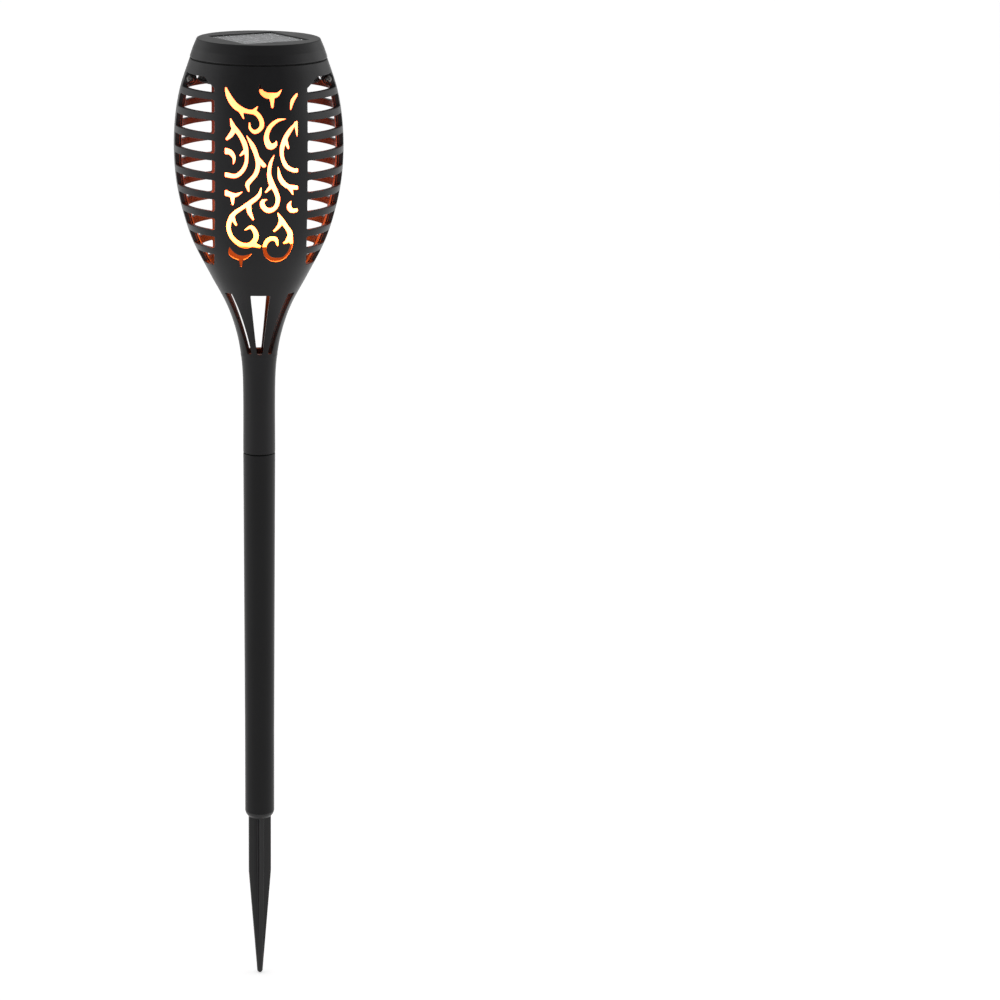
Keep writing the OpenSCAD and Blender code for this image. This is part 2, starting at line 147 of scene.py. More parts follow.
class Paint:
    """One procedural material while it is being made."""

    def __init__(self, name: str) -> None:
        """Starts a material that holds only its output.

        Args:
            name: The material's name.
        """
        self._start(bpy.data.materials.new(name), "Material", "Object")

    def _start(self, block: bpy.types.Material | bpy.types.World, output: str, coordinates: str) -> None:
        """Empties a block's node tree and gives it an output and its coordinates."""
        self.block = block
        block.use_nodes = True
        self.tree = block.node_tree
        self.tree.nodes.clear()
        self.output = self.tree.nodes.new("ShaderNodeOutput" + output)
        self.place = self.node("TexCoord", {}, {}, coordinates)

    def _end(self, shader: Signal) -> bpy.types.Material | bpy.types.World:
        """Links a shader to the output and gives back the finished block."""
        self.tree.links.new(shader.socket, self.output.inputs["Surface"])
        return self.block

    def _feed(self, socket: bpy.types.NodeSocket, value: object) -> None:
        """Links a signal to a socket or sets the socket to a constant."""
        if isinstance(value, Signal):
            self.tree.links.new(value.socket, socket)
        elif isinstance(value, (tuple, list)) and len(value) == 3 and socket.type == "RGBA":
            socket.default_value = (*value, 1.0)
        else:
            socket.default_value = value

    def node(self, kind: str, settings: dict, inputs: dict, output: str | int = 0) -> Signal:
        """Makes any node.

        Args:
            kind: The node's type without its ShaderNode prefix, or Tex for a texture's.
            settings: Its properties, and a ramp's stops under "stops".
            inputs: Values or signals by socket name or number.
            output: The output that the signal reads.

        Returns:
            A signal on that output.
        """
        made = self.tree.nodes.new("ShaderNode" + kind)
        for key, value in settings.items():
            if key == "stops":
                self._stops(made.color_ramp, value)
            else:
                setattr(made, key, value)
        for key, value in inputs.items():
            self._feed(made.inputs[key], value)
        return Signal(self, made.outputs[output])

    @staticmethod
    def _stops(ramp: bpy.types.ColorRamp, stops: Sequence[tuple]) -> None:
        """Fills a colour ramp from (place, colour) pairs."""
        while len(ramp.elements) < len(stops):
            ramp.elements.new(1.0)
        for element, (place, colour) in zip(ramp.elements, stops):
            element.position = place
            element.color = (*colour, 1.0)

    def noise(
        self, size: float, detail: float = 2.0, rough: float = 0.5, stretch: tuple = (1, 1, 1)
    ) -> Signal:
        """Smooth noise from 0 to 1.

        Args:
            size: The size of its patches in millimetres.
            detail: How many finer layers it has.
            rough: How strong the finer layers are.
            stretch: How much the pattern is squeezed along each axis.

        Returns:
            The noise.
        """
        place = self.node("Mapping", {}, {"Vector": self.place, "Scale": stretch})
        scale = 1.0 / (size * METRE)
        return self.node(
            "TexNoise", {}, {"Vector": place, "Scale": scale, "Detail": detail, "Roughness": rough}
        )

    def cells(self, size: float) -> Signal:
        """Distance to the nearest of scattered points, as a spark-eroded mould leaves.

        Args:
            size: The mean gap between the points in millimetres.

        Returns:
            The distance, in units of the gap.
        """
        return self.node("TexVoronoi", {}, {"Vector": self.place, "Scale": 1.0 / (size * METRE)})

    def axis(self, name: str, turn: float = 0.0) -> Signal:
        """A coordinate in millimetres.

        Args:
            name: X, Y or Z.
            turn: Degrees that the axes are turned about Z first.

        Returns:
            The coordinate.
        """
        place = self.node(
            "Mapping", {}, {"Vector": self.place, "Rotation": (0.0, 0.0, math.radians(-turn))}
        )
        return self.node("SeparateXYZ", {}, {"Vector": place}, name) * (1.0 / METRE)

    def mix(self, share: object, first: object, second: object) -> Signal:
        """One colour turned into another by a share.

        Args:
            share: How much of the second colour there is.
            first: The colour at share 0.
            second: The colour at share 1.

        Returns:
            The mixed colour.
        """
        made = self.tree.nodes.new("ShaderNodeMix")
        made.data_type = "RGBA"
        for socket, value in ((made.inputs[0], share), (made.inputs[6], first), (made.inputs[7], second)):
            self._feed(socket, value)
        return Signal(self, made.outputs[2])

    def bump(self, height: Signal, depth: float) -> Signal:
        """A normal tipped by a height.

        Args:
            height: The height from 0 to 1.
            depth: Its depth in millimetres.

        Returns:
            The normal.
        """
        return self.node("Bump", {}, {"Height": height, "Distance": depth * METRE, "Strength": 1.0})

    def surface(self, inputs: dict) -> bpy.types.Material:
        """Ends the material with a Principled shader.

        Args:
            inputs: Values or signals by the shader's socket names.

        Returns:
            The finished material.
        """
        return self._end(self.node("BsdfPrincipled", {}, inputs))


class Sky(Paint):
    """The light that falls in from all round, by its direction."""

    def __init__(self, name: str) -> None:
        """Starts a world that holds only its output.

        Args:
            name: The world's name.
        """
        self._start(bpy.data.worlds.new(name), "World", "Generated")

    def soft_boxes(
        self, front: float, behind: float, side: float, above: float, seen: float
    ) -> bpy.types.World:
        """Wide soft boxes at both sides and above, a dim front and a plain white that the camera sees.

        Args:
            front: The strength from the front.
            behind: The strength from behind.
            side: The strength that the side boxes add.
            above: The strength that the box above adds.
            seen: The strength that the camera sees.

        Returns:
            The finished world.
        """
        across, depth, height = (self.node("SeparateXYZ", {}, {0: self.place}, name) for name in "XYZ")
        sides = across.absolute().ramp(0.5, 0.92, 0.0, side) * height.ramp(0.1, 0.6, 1.0, 0.2)
        light = depth.ramp(-0.4, 0.6, front, behind) + sides + height.ramp(0.35, 0.9, 0.0, above)
        camera = self.node("LightPath", {}, {}, "Is Camera Ray")
        strength = camera * seen + (1.0 - camera) * light
        return self._end(self.node("Background", {}, {"Color": WHITE, "Strength": strength}))


# ---------------------------------------------------------------- finishes


@dataclass(frozen=True)
class Finish(ABC):
    """A finish: the record's slot that it stands for and its material."""

    slot: str

    @abstractmethod
    def paint(self) -> bpy.types.Material:
        """Makes the material."""

    def material(self) -> bpy.types.Material:
        """The material, made once and then shared."""
        name = f"{self.slot}_{type(self).__name__}"
        made = bpy.data.materials.get(name)
        if made is None:
            made = self.paint()
            made.name = name
        return made


@dataclass(frozen=True)
class MouldedPlastic(Finish):
    """Injection-moulded plastic with a spark-eroded grain, faint flow marks and dust."""

    colour: tuple = (0.02, 0.02, 0.022)
    lift: float = 1.35
    roughness: float = 0.42
    grain: float = 0.35
    depth: float = 0.012
    gloss: float = 0.5

    def paint(self) -> bpy.types.Material:
        """Grain from scattered pits, and colour and gloss that drift slowly over the piece."""
        paint = Paint(self.slot)
        flow = paint.noise(24.0, 3.0, 0.55, (1.0, 1.0, 0.4))
        pits = paint.cells(self.grain)
        fine = paint.noise(self.grain * 0.6, 3.0, 0.6)
        paler = tuple(min(1.0, c * self.lift) for c in self.colour)
        grain = pits * 0.6 + fine * 0.5
        shade = flow.ramp(0.3, 0.7) * 0.7 + fine.ramp(0.35, 0.75) * 0.3
        return paint.surface(
            {
                "Base Color": paint.mix(shade, self.colour, paler),
                "Roughness": flow.ramp(0.25, 0.75, self.roughness - 0.05, self.roughness + 0.05)
                + fine.ramp(0.3, 0.8, -0.03, 0.05),
                "Normal": paint.bump(grain, self.depth),
                "Specular IOR Level": self.gloss,
            }
        )


@dataclass(frozen=True)
class Metal(Finish):
    """Plated metal with fine drawing or turning marks."""

    colour: tuple = (0.75, 0.75, 0.76)
    roughness: float = 0.28

    def paint(self) -> bpy.types.Material:
        """A bright metal whose gloss and tone follow fine marks."""
        paint = Paint(self.slot)
        marks = paint.noise(0.25, 2.0, 0.5, (1.0, 1.0, 6.0))
        dull = paint.noise(2.5, 3.0).ramp(0.35, 0.7)
        darker = tuple(c * 0.8 for c in self.colour)
        return paint.surface(
            {
                "Base Color": paint.mix(dull, self.colour, darker),
                "Metallic": 1.0,
                "Roughness": marks.ramp(0.2, 0.8, self.roughness - 0.08, self.roughness + 0.12),
                "Normal": paint.bump(marks, 0.004),
            }
        )


@dataclass(frozen=True)
class Glow(Finish):
    """A frosted diffuser lit from inside: yellow at the top, white-hot below and amber at its foot."""

    top: float = 377.0
    foot: float = 298.5
    strength: float = 32.0

    def paint(self) -> bpy.types.Material:
        """Light whose colour follows the height and whose patches are flames."""
        paint = Paint(self.slot)
        height = (paint.axis("Z") - self.foot) * (1.0 / (self.top - self.foot))
        flame = paint.noise(16.0, 2.0, 0.5, (1.0, 1.0, 0.45))
        colour = paint.node(
            "ValToRGB",
            {
                "stops": (
                    (0.0, (1.0, 0.13, 0.014)),
                    (0.08, (0.95, 0.13, 0.02)),
                    (0.3, (0.75, 0.09, 0.024)),
                    (0.62, (0.55, 0.06, 0.02)),
                    (0.8, (0.36, 0.04, 0.011)),
                    (1.0, (0.22, 0.024, 0.006)),
                )
            },
            {0: height + flame.ramp(0.3, 0.7, -0.08, 0.08)},
        )
        frost = paint.noise(0.5, 2.0)
        return paint.surface(
            {
                # The base colour is tinted amber as well: painted glow, for the frosted cup is pale grey
                # when unlit
                "Base Color": paint.mix(frost, (0.6, 0.48, 0.3), (0.66, 0.54, 0.36)),
                "Roughness": frost.ramp(0.3, 0.7, 0.5, 0.62),
                "Emission Color": colour,
                "Emission Strength": self.strength,
                "Normal": paint.bump(frost, 0.01),
            }
        )


@dataclass(frozen=True)
class ClearCover(Finish):
    """The clear laminate over the solar cells."""

    def paint(self) -> bpy.types.Material:
        """Clear plastic with faint ripples."""
        paint = Paint(self.slot)
        ripple = paint.noise(6.0, 2.0)
        return paint.surface(
            {
                "Base Color": paint.mix(ripple, (0.8, 0.82, 0.84), (0.86, 0.87, 0.88)),
                "Roughness": ripple.ramp(0.3, 0.7, 0.16, 0.22),
                "Transmission Weight": 0.92,
                "IOR": 1.4,
                "Normal": paint.bump(ripple, 0.01),
            }
        )


@dataclass(frozen=True)
class Silicon(Finish):
    """Dark crystalline cells with fine printed fingers."""

    turn: float = 29.0
    finger_gap: float = 1.1

    def paint(self) -> bpy.types.Material:
        """Crystal patches crossed by thin silver fingers."""
        paint = Paint(self.slot)
        along = paint.axis("Y", self.turn)
        finger = (along * (TURN / self.finger_gap)).wave().ramp(0.93, 0.99)
        crystal = paint.node(
            "TexVoronoi", {}, {"Vector": paint.place, "Scale": 1.0 / (3.0 * METRE)}, "Color"
        )
        tone = paint.node("SeparateColor", {}, {0: crystal}, 0)
        body = paint.mix(tone, (0.012, 0.02, 0.055), (0.03, 0.045, 0.1))
        return paint.surface(
            {
                "Base Color": paint.mix(finger, body, (0.5, 0.5, 0.52)),
                "Roughness": finger * 0.2 + 0.22,
                "Metallic": finger * 0.7,
                "Coat Weight": 0.3,
            }
        )


@dataclass(frozen=True)
class PrintedBoard(Finish):
    """A circuit board: lacquer over tracks."""

    lacquer: tuple = (0.01, 0.1, 0.04)
    track: tuple = (0.05, 0.22, 0.1)
    pitch: float = 1.27

    def paint(self) -> bpy.types.Material:
        """Two sets of tracks under lacquer, broken up by noise."""
        paint = Paint(self.slot)
        gate = paint.noise(4.0, 1.0).ramp(0.45, 0.5)
        lines = (paint.axis("X") * (TURN / self.pitch)).wave().ramp(0.2, 0.4)
        cross = (paint.axis("Y") * (TURN / self.pitch)).wave().ramp(0.2, 0.4)
        tracks = lines * gate + cross * (1.0 - gate)
        return paint.surface(
            {
                "Base Color": paint.mix(tracks, self.lacquer, self.track),
                "Roughness": tracks.ramp(0.0, 1.0, 0.3, 0.42),
                "Normal": paint.bump(tracks, 0.03),
            }
        )


@dataclass(frozen=True)
class Sleeve(Finish):
    """A cell's shrink sleeve in two colours with a paler band."""

    body: tuple = (0.03, 0.22, 0.09)
    band: tuple = (0.7, 0.72, 0.7)
    band_low: float = 372.0

    def paint(self) -> bpy.types.Material:
        """The band and the body under a wrinkled film."""
        paint = Paint(self.slot)
        banded = paint.axis("Z").ramp(self.band_low, self.band_low + 0.1)
        wrinkle = paint.noise(1.6, 3.0, 0.5, (1.0, 1.0, 0.3))
        return paint.surface(
            {
                "Base Color": paint.mix(banded, self.body, self.band),
                "Roughness": wrinkle.ramp(0.3, 0.7, 0.2, 0.34),
                "Normal": paint.bump(wrinkle, 0.05),
            }
        )


SHELL = MouldedPlastic("shell_plastic", (0.0068, 0.0067, 0.0073), 1.5, 0.34, 0.32, 0.01, 0.18)
POLE = MouldedPlastic("pole_plastic", (0.0052, 0.0052, 0.0056), 1.35, 0.33, 0.25, 0.006, 0.16)
SPIKE = MouldedPlastic("spike_plastic", (0.01, 0.01, 0.0104), 1.5, 0.34, 0.3, 0.008, 0.28)
COLLAR = MouldedPlastic("collar_plastic", (0.007, 0.007, 0.007), 1.3, 0.4, 0.35, 0.012, 0.25)
SEAL = MouldedPlastic("rubber_seal", (0.006, 0.006, 0.006), 1.4, 0.7, 0.2, 0.01, 0.2)
POST = MouldedPlastic("post_white", (0.7, 0.7, 0.67), 1.08, 0.35, 0.4, 0.008)
CHIP = MouldedPlastic("chip_black", (0.012, 0.012, 0.013), 1.5, 0.45, 0.15, 0.01)
FERRITE = MouldedPlastic("ferrite", (0.06, 0.05, 0.045), 1.5, 0.55, 0.2, 0.02)
SWITCH = MouldedPlastic("switch_plastic", (0.02, 0.02, 0.02), 1.3, 0.25, 0.3, 0.004)
BUTTON = MouldedPlastic("button_red", (0.5, 0.02, 0.015), 1.2, 0.25, 0.3, 0.004)
LED = MouldedPlastic("led_package", (0.8, 0.55, 0.08), 1.15, 0.3, 0.3, 0.01)
WIRE_RED = MouldedPlastic("wire_red", (0.5, 0.015, 0.012), 1.2, 0.3, 0.3, 0.004)
WIRE_BLACK = MouldedPlastic("wire_black", (0.012, 0.012, 0.012), 1.3, 0.3, 0.3, 0.004)
WIRE_WHITE = MouldedPlastic("wire_white", (0.75, 0.75, 0.72), 1.05, 0.3, 0.3, 0.004)
STEEL = Metal("screw_steel", (0.16, 0.155, 0.15), 0.26)
SPRING = Metal("spring_steel", (0.7, 0.7, 0.69), 0.2)
TIN = Metal("busbar_tin", (0.72, 0.72, 0.74), 0.3)
CAN = Metal("can_aluminium", (0.7, 0.7, 0.72), 0.25)
BRASS = Metal("contact_brass", (0.78, 0.62, 0.3), 0.25)
GLOW = Glow("diffuser_frost")
COVER = ClearCover("solar_cover")
CELLS = Silicon("solar_cell")
BOARD = PrintedBoard("board_green")
FLEX = PrintedBoard("flex_board", (0.5, 0.3, 0.06), (0.65, 0.42, 0.12), 1.6)
SLEEVE = Sleeve("cell_sleeve")


# ---------------------------------------------------------------- shapes


@dataclass
class Shape:
    """Points in millimetres, their faces and, where they are known, their normals."""

    points: np.ndarray
    faces: list[np.ndarray]
    normals: np.ndarray | None = None

    @staticmethod
    def joined(shapes: Sequence["Shape"]) -> "Shape":
        """Several shapes as one.

        Args:
            shapes: The shapes. A normal that isn't known becomes zero.

        Returns:
            The joined shape.
        """
        starts = np.cumsum([0] + [len(s.points) for s in shapes])
        normals = [np.zeros_like(s.points) if s.normals is None else s.normals for s in shapes]
        faces = [f + start for s, start in zip(shapes, starts) for f in s.faces]
        known = any(s.normals is not None for s in shapes)
        return Shape(np.vstack([s.points for s in shapes]), faces, np.vstack(normals) if known else None)

    def outward(self) -> "Shape":
        """The closed shape with its faces turned outwards, by the sign of its volume."""
        volume = 0.0
        for block in self.faces:
            p = self.points[block]
            for k in range(1, block.shape[1] - 1):
                volume += (p[:, 0] * np.cross(p[:, k], p[:, k + 1])).sum()
        return self if volume > 0 else Shape(self.points, [block[:, ::-1] for block in self.faces])

    def turned(self, degrees: float, axis: str = "Z") -> "Shape":
        """The shape turned about an axis through the origin."""
        turn = np.array(Matrix.Rotation(math.radians(degrees), 3, axis))
        normals = None if self.normals is None else self.normals @ turn.T
        return Shape(self.points @ turn.T, self.faces, normals)

    def moved(self, x: float, y: float, z: float) -> "Shape":
        """The shape moved by a vector."""
        return Shape(self.points + np.array((x, y, z)), self.faces, self.normals)

    def piece(
        self,
        name: str,
        body: Body,
        finish: Finish,
        stands_for: Sequence[str],
        crease: float = 38.0,
    ) -> bpy.types.Object:
        """Makes the shape an object that rides on a body.

        Args:
            name: The object's name.
            body: The body that it rides on.
            finish: Its finish.
            stands_for: The CAD nodes that it replaces.
            crease: The angle in degrees past which an edge is sharp.

        Returns:
            The object.
        """
        mesh = bpy.data.meshes.new(name)
        faces = [face for block in self.faces for face in block.tolist()]
        mesh.from_pydata((self.points * METRE).tolist(), [], faces)
        mesh.update()
        mesh.shade_smooth()
        mesh.set_sharp_from_angle(angle=math.radians(crease))
        if self.normals is not None:
            mesh.normals_split_custom_set_from_vertices(self.normals.tolist())
        made = bpy.data.objects.new(name, mesh)
        bpy.context.scene.collection.objects.link(made)
        mesh.materials.append(finish.material())
        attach(made, body.value)
        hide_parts(*stands_for)
        LOG.info("%s: %d points, %d faces", name, len(self.points), len(faces))
        return made


def unit(vectors: np.ndarray) -> np.ndarray:
    """The vectors at length one."""
    return vectors / np.linalg.norm(vectors, axis=-1, keepdims=True)


def from_front(radius: np.ndarray, angle: np.ndarray, height: np.ndarray) -> np.ndarray:
    """Points (radius sin angle, -radius cos angle, height), whose angle counts from the front."""
    spread = np.broadcast_arrays(radius * np.sin(angle), -radius * np.cos(angle), height)
    return np.stack(spread, axis=-1)


def rings_of(radius: np.ndarray, angle: np.ndarray, height: np.ndarray) -> np.ndarray:
    """Rings of points (radius cos angle, radius sin angle, height)."""
    spread = np.broadcast_arrays(radius * np.cos(angle), radius * np.sin(angle), height)
    return np.stack(spread, axis=-1)


def lofted(rings: np.ndarray, wrap: bool = False) -> Shape:
    """A skin through rings of points.

    Point (i, k) is point k of ring i, and each face joins points k and k + 1 of rings i and i + 1.

    Args:
        rings: Points as (rings, points, 3), each ring closed on itself.
        wrap: Whether the last ring joins the first. Otherwise fans about their middles close both.

    Returns:
        The closed skin, facing outwards.
    """
    count, around = rings.shape[:2]
    ring = np.arange(count if wrap else count - 1)[:, None]
    k = np.arange(around)[None, :]
    after, beside = (ring + 1) % count, (k + 1) % around
    quads = np.stack(
        [ring * around + k, ring * around + beside, after * around + beside, after * around + k], axis=-1
    ).reshape(-1, 4)
    points, faces = [rings.reshape(-1, 3)], [quads]
    middle = count * around
    k = np.arange(around)
    for row, flip in () if wrap else ((0, True), (count - 1, False)):
        points.append(rings[row].mean(0)[None])
        start = row * around
        edge = np.stack([start + k, start + (k + 1) % around, np.full(around, middle)], axis=-1)
        faces.append(edge[:, ::-1] if flip else edge)
        middle += 1
    return Shape(np.vstack(points), faces).outward()


SUPPORT = 0.25


def filleted(corners: Sequence[tuple[float, float, float]], steps: int = 4) -> np.ndarray:
    """An open line with rounded corners.

    Each corner is replaced by the arc of its radius that touches both of its sides, with a point close
    before and after it that keeps the sides' shading flat.

    Args:
        corners: (x, y, radius) for each corner. The first and last keep their place.
        steps: How many chords an arc has.

    Returns:
        The line's points.
    """
    line = [np.array(corners[0][:2], float)]
    for before, (x, y, radius), after in zip(corners, corners[1:], corners[2:]):
        here = np.array((x, y), float)
        a, b = np.array(before[:2]) - here, np.array(after[:2]) - here
        reach = 0.36 * min(np.linalg.norm(a), np.linalg.norm(b))
        a, b = a / np.linalg.norm(a), b / np.linalg.norm(b)
        half = math.acos(max(-1.0, min(1.0, float(a @ b)))) / 2
        if radius <= 0 or half > math.radians(89):
            line.append(here)
            continue
        radius = min(radius, reach * math.tan(half))
        middle = here + (a + b) / np.linalg.norm(a + b) * radius / math.sin(half)
        start, end = here + a * radius / math.tan(half), here + b * radius / math.tan(half)
        share = np.linspace(0, 1, steps + 1)[:, None]
        chord = (start - middle) * (1 - share) + (end - middle) * share
        line.append(start + a * SUPPORT * radius)
        line.extend(middle + unit(chord) * radius)
        line.append(end + b * SUPPORT * radius)
    line.append(np.array(corners[-1][:2], float))
    return np.array(line)


def turned(profile: np.ndarray, sides: int = 128) -> Shape:
    """A solid of revolution about Z.

    A profile whose ends lie on the axis closes there, and any other is a loop that closes on itself.

    Args:
        profile: (radius, height) points, going up the outside and down the inside.
        sides: How many points go round.

    Returns:
        The closed skin.
    """
    angle = np.linspace(0, TURN, sides, endpoint=False)
    on_axis = profile[0][0] < 1e-6 and profile[-1][0] < 1e-6
    inner = profile[1:-1] if on_axis else profile
    shape = lofted(rings_of(inner[:, :1], angle, inner[:, 1:]), wrap=not on_axis)
    if on_axis:
        shape.points[-2:, 2] = profile[0][1], profile[-1][1]
    return shape


@dataclass(frozen=True)
class Curve:
    """A smooth curve through stations of (place, value).

    Between stations it is the cubic whose slope at each station is that of the chord over the
    station's neighbours.
    """

    stations: tuple[tuple[float, float], ...]

    def at(self, place: np.ndarray) -> np.ndarray:
        """The values at places."""
        x, y = np.array(self.stations, float).T
        before = np.maximum(np.arange(len(x)) - 1, 0)
        after = np.minimum(np.arange(len(x)) + 1, len(x) - 1)
        slope = (y[after] - y[before]) / (x[after] - x[before])
        i = np.clip(np.searchsorted(x, place, "right") - 1, 0, len(x) - 2)
        span = x[i + 1] - x[i]
        start_slope, end_slope, f = slope[i] * span, slope[i + 1] * span, (place - x[i]) / span
        start = (1 + 2 * f) * (1 - f) ** 2 * y[i] + f * (1 - f) ** 2 * start_slope
        return start + f * f * (3 - 2 * f) * y[i + 1] + f * f * (f - 1) * end_slope


# ---------------------------------------------------------------- cuts through a wall


@dataclass
class Outline:
    """The edge lines of a cut, at several gaps outside its opening, in the cut's own flat space.

    The flat space is (across, height). A way points from the opening into the material.
    """

    points: np.ndarray
    ways: np.ndarray
    gaps: np.ndarray
    edges: np.ndarray


class Cut(ABC):
    """An opening cut straight through a turned wall."""

    @abstractmethod
    def outline(self, gaps: Sequence[float]) -> Outline:
        """The edge lines at the given gaps outside the opening."""

    @abstractmethod
    def distance(self, across: np.ndarray, height: np.ndarray) -> np.ndarray:
        """Distance outside the opening, negative inside it."""

    @abstractmethod
    def angle(self, across: np.ndarray, radius: np.ndarray) -> np.ndarray:
        """The angle from the front at which a line of the cut meets a radius."""

    @abstractmethod
    def across(self, angle: np.ndarray, radius: np.ndarray) -> np.ndarray:
        """The place across the cut of an angle at a radius, far off where the cut can't reach it."""

    @abstractmethod
    def side_way(self, across: np.ndarray) -> np.ndarray:
        """The direction in space in which across grows."""


FAR = 1e3
HAIR = 1e-3


def round_corners(corners: Sequence[tuple], radii: Sequence[float], steps: int, spacing: float) -> tuple:
    """A convex outline with rounded corners.

    A corner becomes the arc of its radius that touches both sides, and a side is divided evenly.

    Args:
        corners: The corners, anticlockwise.
        radii: The radius at each corner.
        steps: How many chords an arc has.
        spacing: The longest gap along a side.

    Returns:
        The points and the unit ways out of the outline at them.
    """
    corner = np.array(corners, float)
    side = unit(np.roll(corner, -1, axis=0) - corner)
    out = np.stack([side[:, 1], -side[:, 0]], axis=1)
    points, ways = [], []
    for k, radius in enumerate(radii):
        before, after = out[k - 1], out[k]
        middle = corner[k] - (before + after) / (1 + before @ after) * radius
        start, end = np.arctan2(before[1], before[0]), np.arctan2(after[1], after[0])
        turn = start + ((end - start) % TURN) * np.linspace(0, 1, steps + 1)
        way = np.stack([np.cos(turn), np.sin(turn)], axis=1)
        points.append(middle + radius * way)
        ways.append(way)
    loop_points, loop_ways = [], []
    for k in range(len(radii)):
        start, end = points[k][-1], points[(k + 1) % len(radii)][0]
        share = np.linspace(0, 1, int(np.linalg.norm(end - start) / spacing) + 2)[1:-1, None]
        loop_points += [points[k], start + (end - start) * share]
        loop_ways += [ways[k], np.repeat(out[k][None], len(share), axis=0)]
    return np.vstack(loop_points), np.vstack(loop_ways)


@dataclass
class RoundedCut(Cut):
    """A cut whose outline is a convex polygon with rounded corners."""

    corners: Sequence[tuple[float, float]]
    radii: Sequence[float]
    steps: int = 4
    spacing: float = 2.4

    def outline(self, gaps: Sequence[float]) -> Outline:
        """The rounded polygon, moved outwards by each gap."""
        points, ways = round_corners(self.corners, self.radii, self.steps, self.spacing)
        count = len(points)
        k = np.arange(count)
        loop = np.stack([k, (k + 1) % count], axis=1)
        return Outline(
            np.vstack([points + gap * ways for gap in gaps]),
            np.tile(ways, (len(gaps), 1)),
            np.repeat(np.array(gaps, float), count),
            np.vstack([loop + i * count for i in range(len(gaps))]),
        )

    def distance(self, across: np.ndarray, height: np.ndarray) -> np.ndarray:
        """The largest distance outside any of the polygon's sides."""
        corner = np.array(self.corners, float)
        side = unit(np.roll(corner, -1, axis=0) - corner)
        x, y = across[..., None] - corner[:, 0], height[..., None] - corner[:, 1]
        return (x * side[:, 1] - y * side[:, 0]).max(-1)


@dataclass
class SlotCut(RoundedCut):
    """A side slot between the panel's edge, a plane of constant X, and the pillar, one of constant Y.

    Across runs from 0 at the panel to the slot's length at the pillar, in equal shares of its angle.
    """

    hand: int = 1
    panel_half: float = 22.3
    pillar_half: float = 6.5
    length: float = 35.0

    def _ends(self, radius: np.ndarray) -> tuple[np.ndarray, np.ndarray]:
        """The angles of the panel's edge and of the pillar at a radius."""
        return np.arcsin(self.panel_half / radius), np.arccos(self.pillar_half / radius)

    def angle(self, across: np.ndarray, radius: np.ndarray) -> np.ndarray:
        """The share of the way from the panel's edge to the pillar."""
        start, end = self._ends(radius)
        return self.hand * (start + (end - start) * across / self.length)

    def across(self, angle: np.ndarray, radius: np.ndarray) -> np.ndarray:
        """The inverse of the angle."""
        start, end = self._ends(np.maximum(radius, self.panel_half + 1.0))
        return (self.hand * angle - start) / (end - start) * self.length

    def side_way(self, across: np.ndarray) -> np.ndarray:
        """Along X at the panel, turning to along Y at the pillar."""
        share = np.clip(across / self.length, 0, 1)
        return unit(np.stack([self.hand * (1 - share), share, 0 * share], axis=-1))


class StraightCut:
    """The geometry of a cut made along one level direction."""

    azimuth: float = 0.0

    def angle(self, across: np.ndarray, radius: np.ndarray) -> np.ndarray:
        """The cut's azimuth and the angle whose sine is across over the radius."""
        return math.radians(self.azimuth) + np.arcsin(np.clip(across / radius, -1, 1))

    def across(self, angle: np.ndarray, radius: np.ndarray) -> np.ndarray:
        """The radius times the sine of the angle from the azimuth, on the near side only."""
        turn = angle - math.radians(self.azimuth)
        return np.where(np.cos(turn) > 0.1, radius * np.sin(turn), FAR)

    def side_way(self, across: np.ndarray) -> np.ndarray:
        """The level direction square to the cut."""
        turn = math.radians(self.azimuth)
        return np.broadcast_to(np.array((math.cos(turn), math.sin(turn), 0.0)), (*np.shape(across), 3))


@dataclass
class SlitCut(StraightCut, RoundedCut):
    """A tapering slit of the funnel."""

    azimuth: float = 0.0


def level_lines(field: np.ndarray, x: np.ndarray, y: np.ndarray, level: float) -> tuple:
    """The lines on which a field has a value, by marching squares.

    Each cell whose corners lie on both sides of the value gets the chords between the crossings of its
    sides, and a crossing is where the field reaches the value along the side.

    Args:
        field: The values as (x, y).
        x: The places of the rows.
        y: The places of the columns.
        level: The value.

    Returns:
        The crossings and the pairs that chords join.
    """
    below = field < level
    corner = below[:-1, :-1] * 1 + below[1:, :-1] * 2 + below[1:, 1:] * 4 + below[:-1, 1:] * 8
    middle = (field[:-1, :-1] + field[1:, :-1] + field[1:, 1:] + field[:-1, 1:]) / 4 < level
    south, east, north, west = range(4)
    chords = {
        1: ((west, south),), 2: ((south, east),), 3: ((west, east),), 4: ((east, north),),
        6: ((south, north),), 7: ((west, north),), 8: ((north, west),), 9: ((north, south),),
        11: ((north, east),), 12: ((east, west),), 13: ((east, south),), 14: ((south, west),),
    }
    apart = {5: ((south, west), (east, north)), 10: ((south, east), (north, west))}
    joined = {5: apart[10], 10: apart[5]}
    found = []
    rows, columns = field.shape
    for case in range(1, 15):
        for solid in (True, False):
            table = chords.get(case) or (joined if solid else apart)[case]
            i, j = np.nonzero((corner == case) & (middle == solid))
            sides = np.stack([
                i * columns + j, rows * columns + (i + 1) * columns + j,
                i * columns + j + 1, rows * columns + i * columns + j,
            ])
            found += [np.stack([sides[a], sides[b]], axis=1) for a, b in table]
    names, pairs = np.unique(np.vstack(found), return_inverse=True)
    upright = names >= rows * columns
    i, j = np.divmod(names - upright * rows * columns, columns)
    a, b = field[i, j], field[i + ~upright, j + upright]
    share = np.clip((level - a) / (b - a), 0.03, 0.97)
    step_x, step_y = x[1] - x[0], y[1] - y[0]
    points = np.stack([x[i] + share * ~upright * step_x, y[j] + share * upright * step_y], axis=1)
    return points, pairs.reshape(-1, 2)


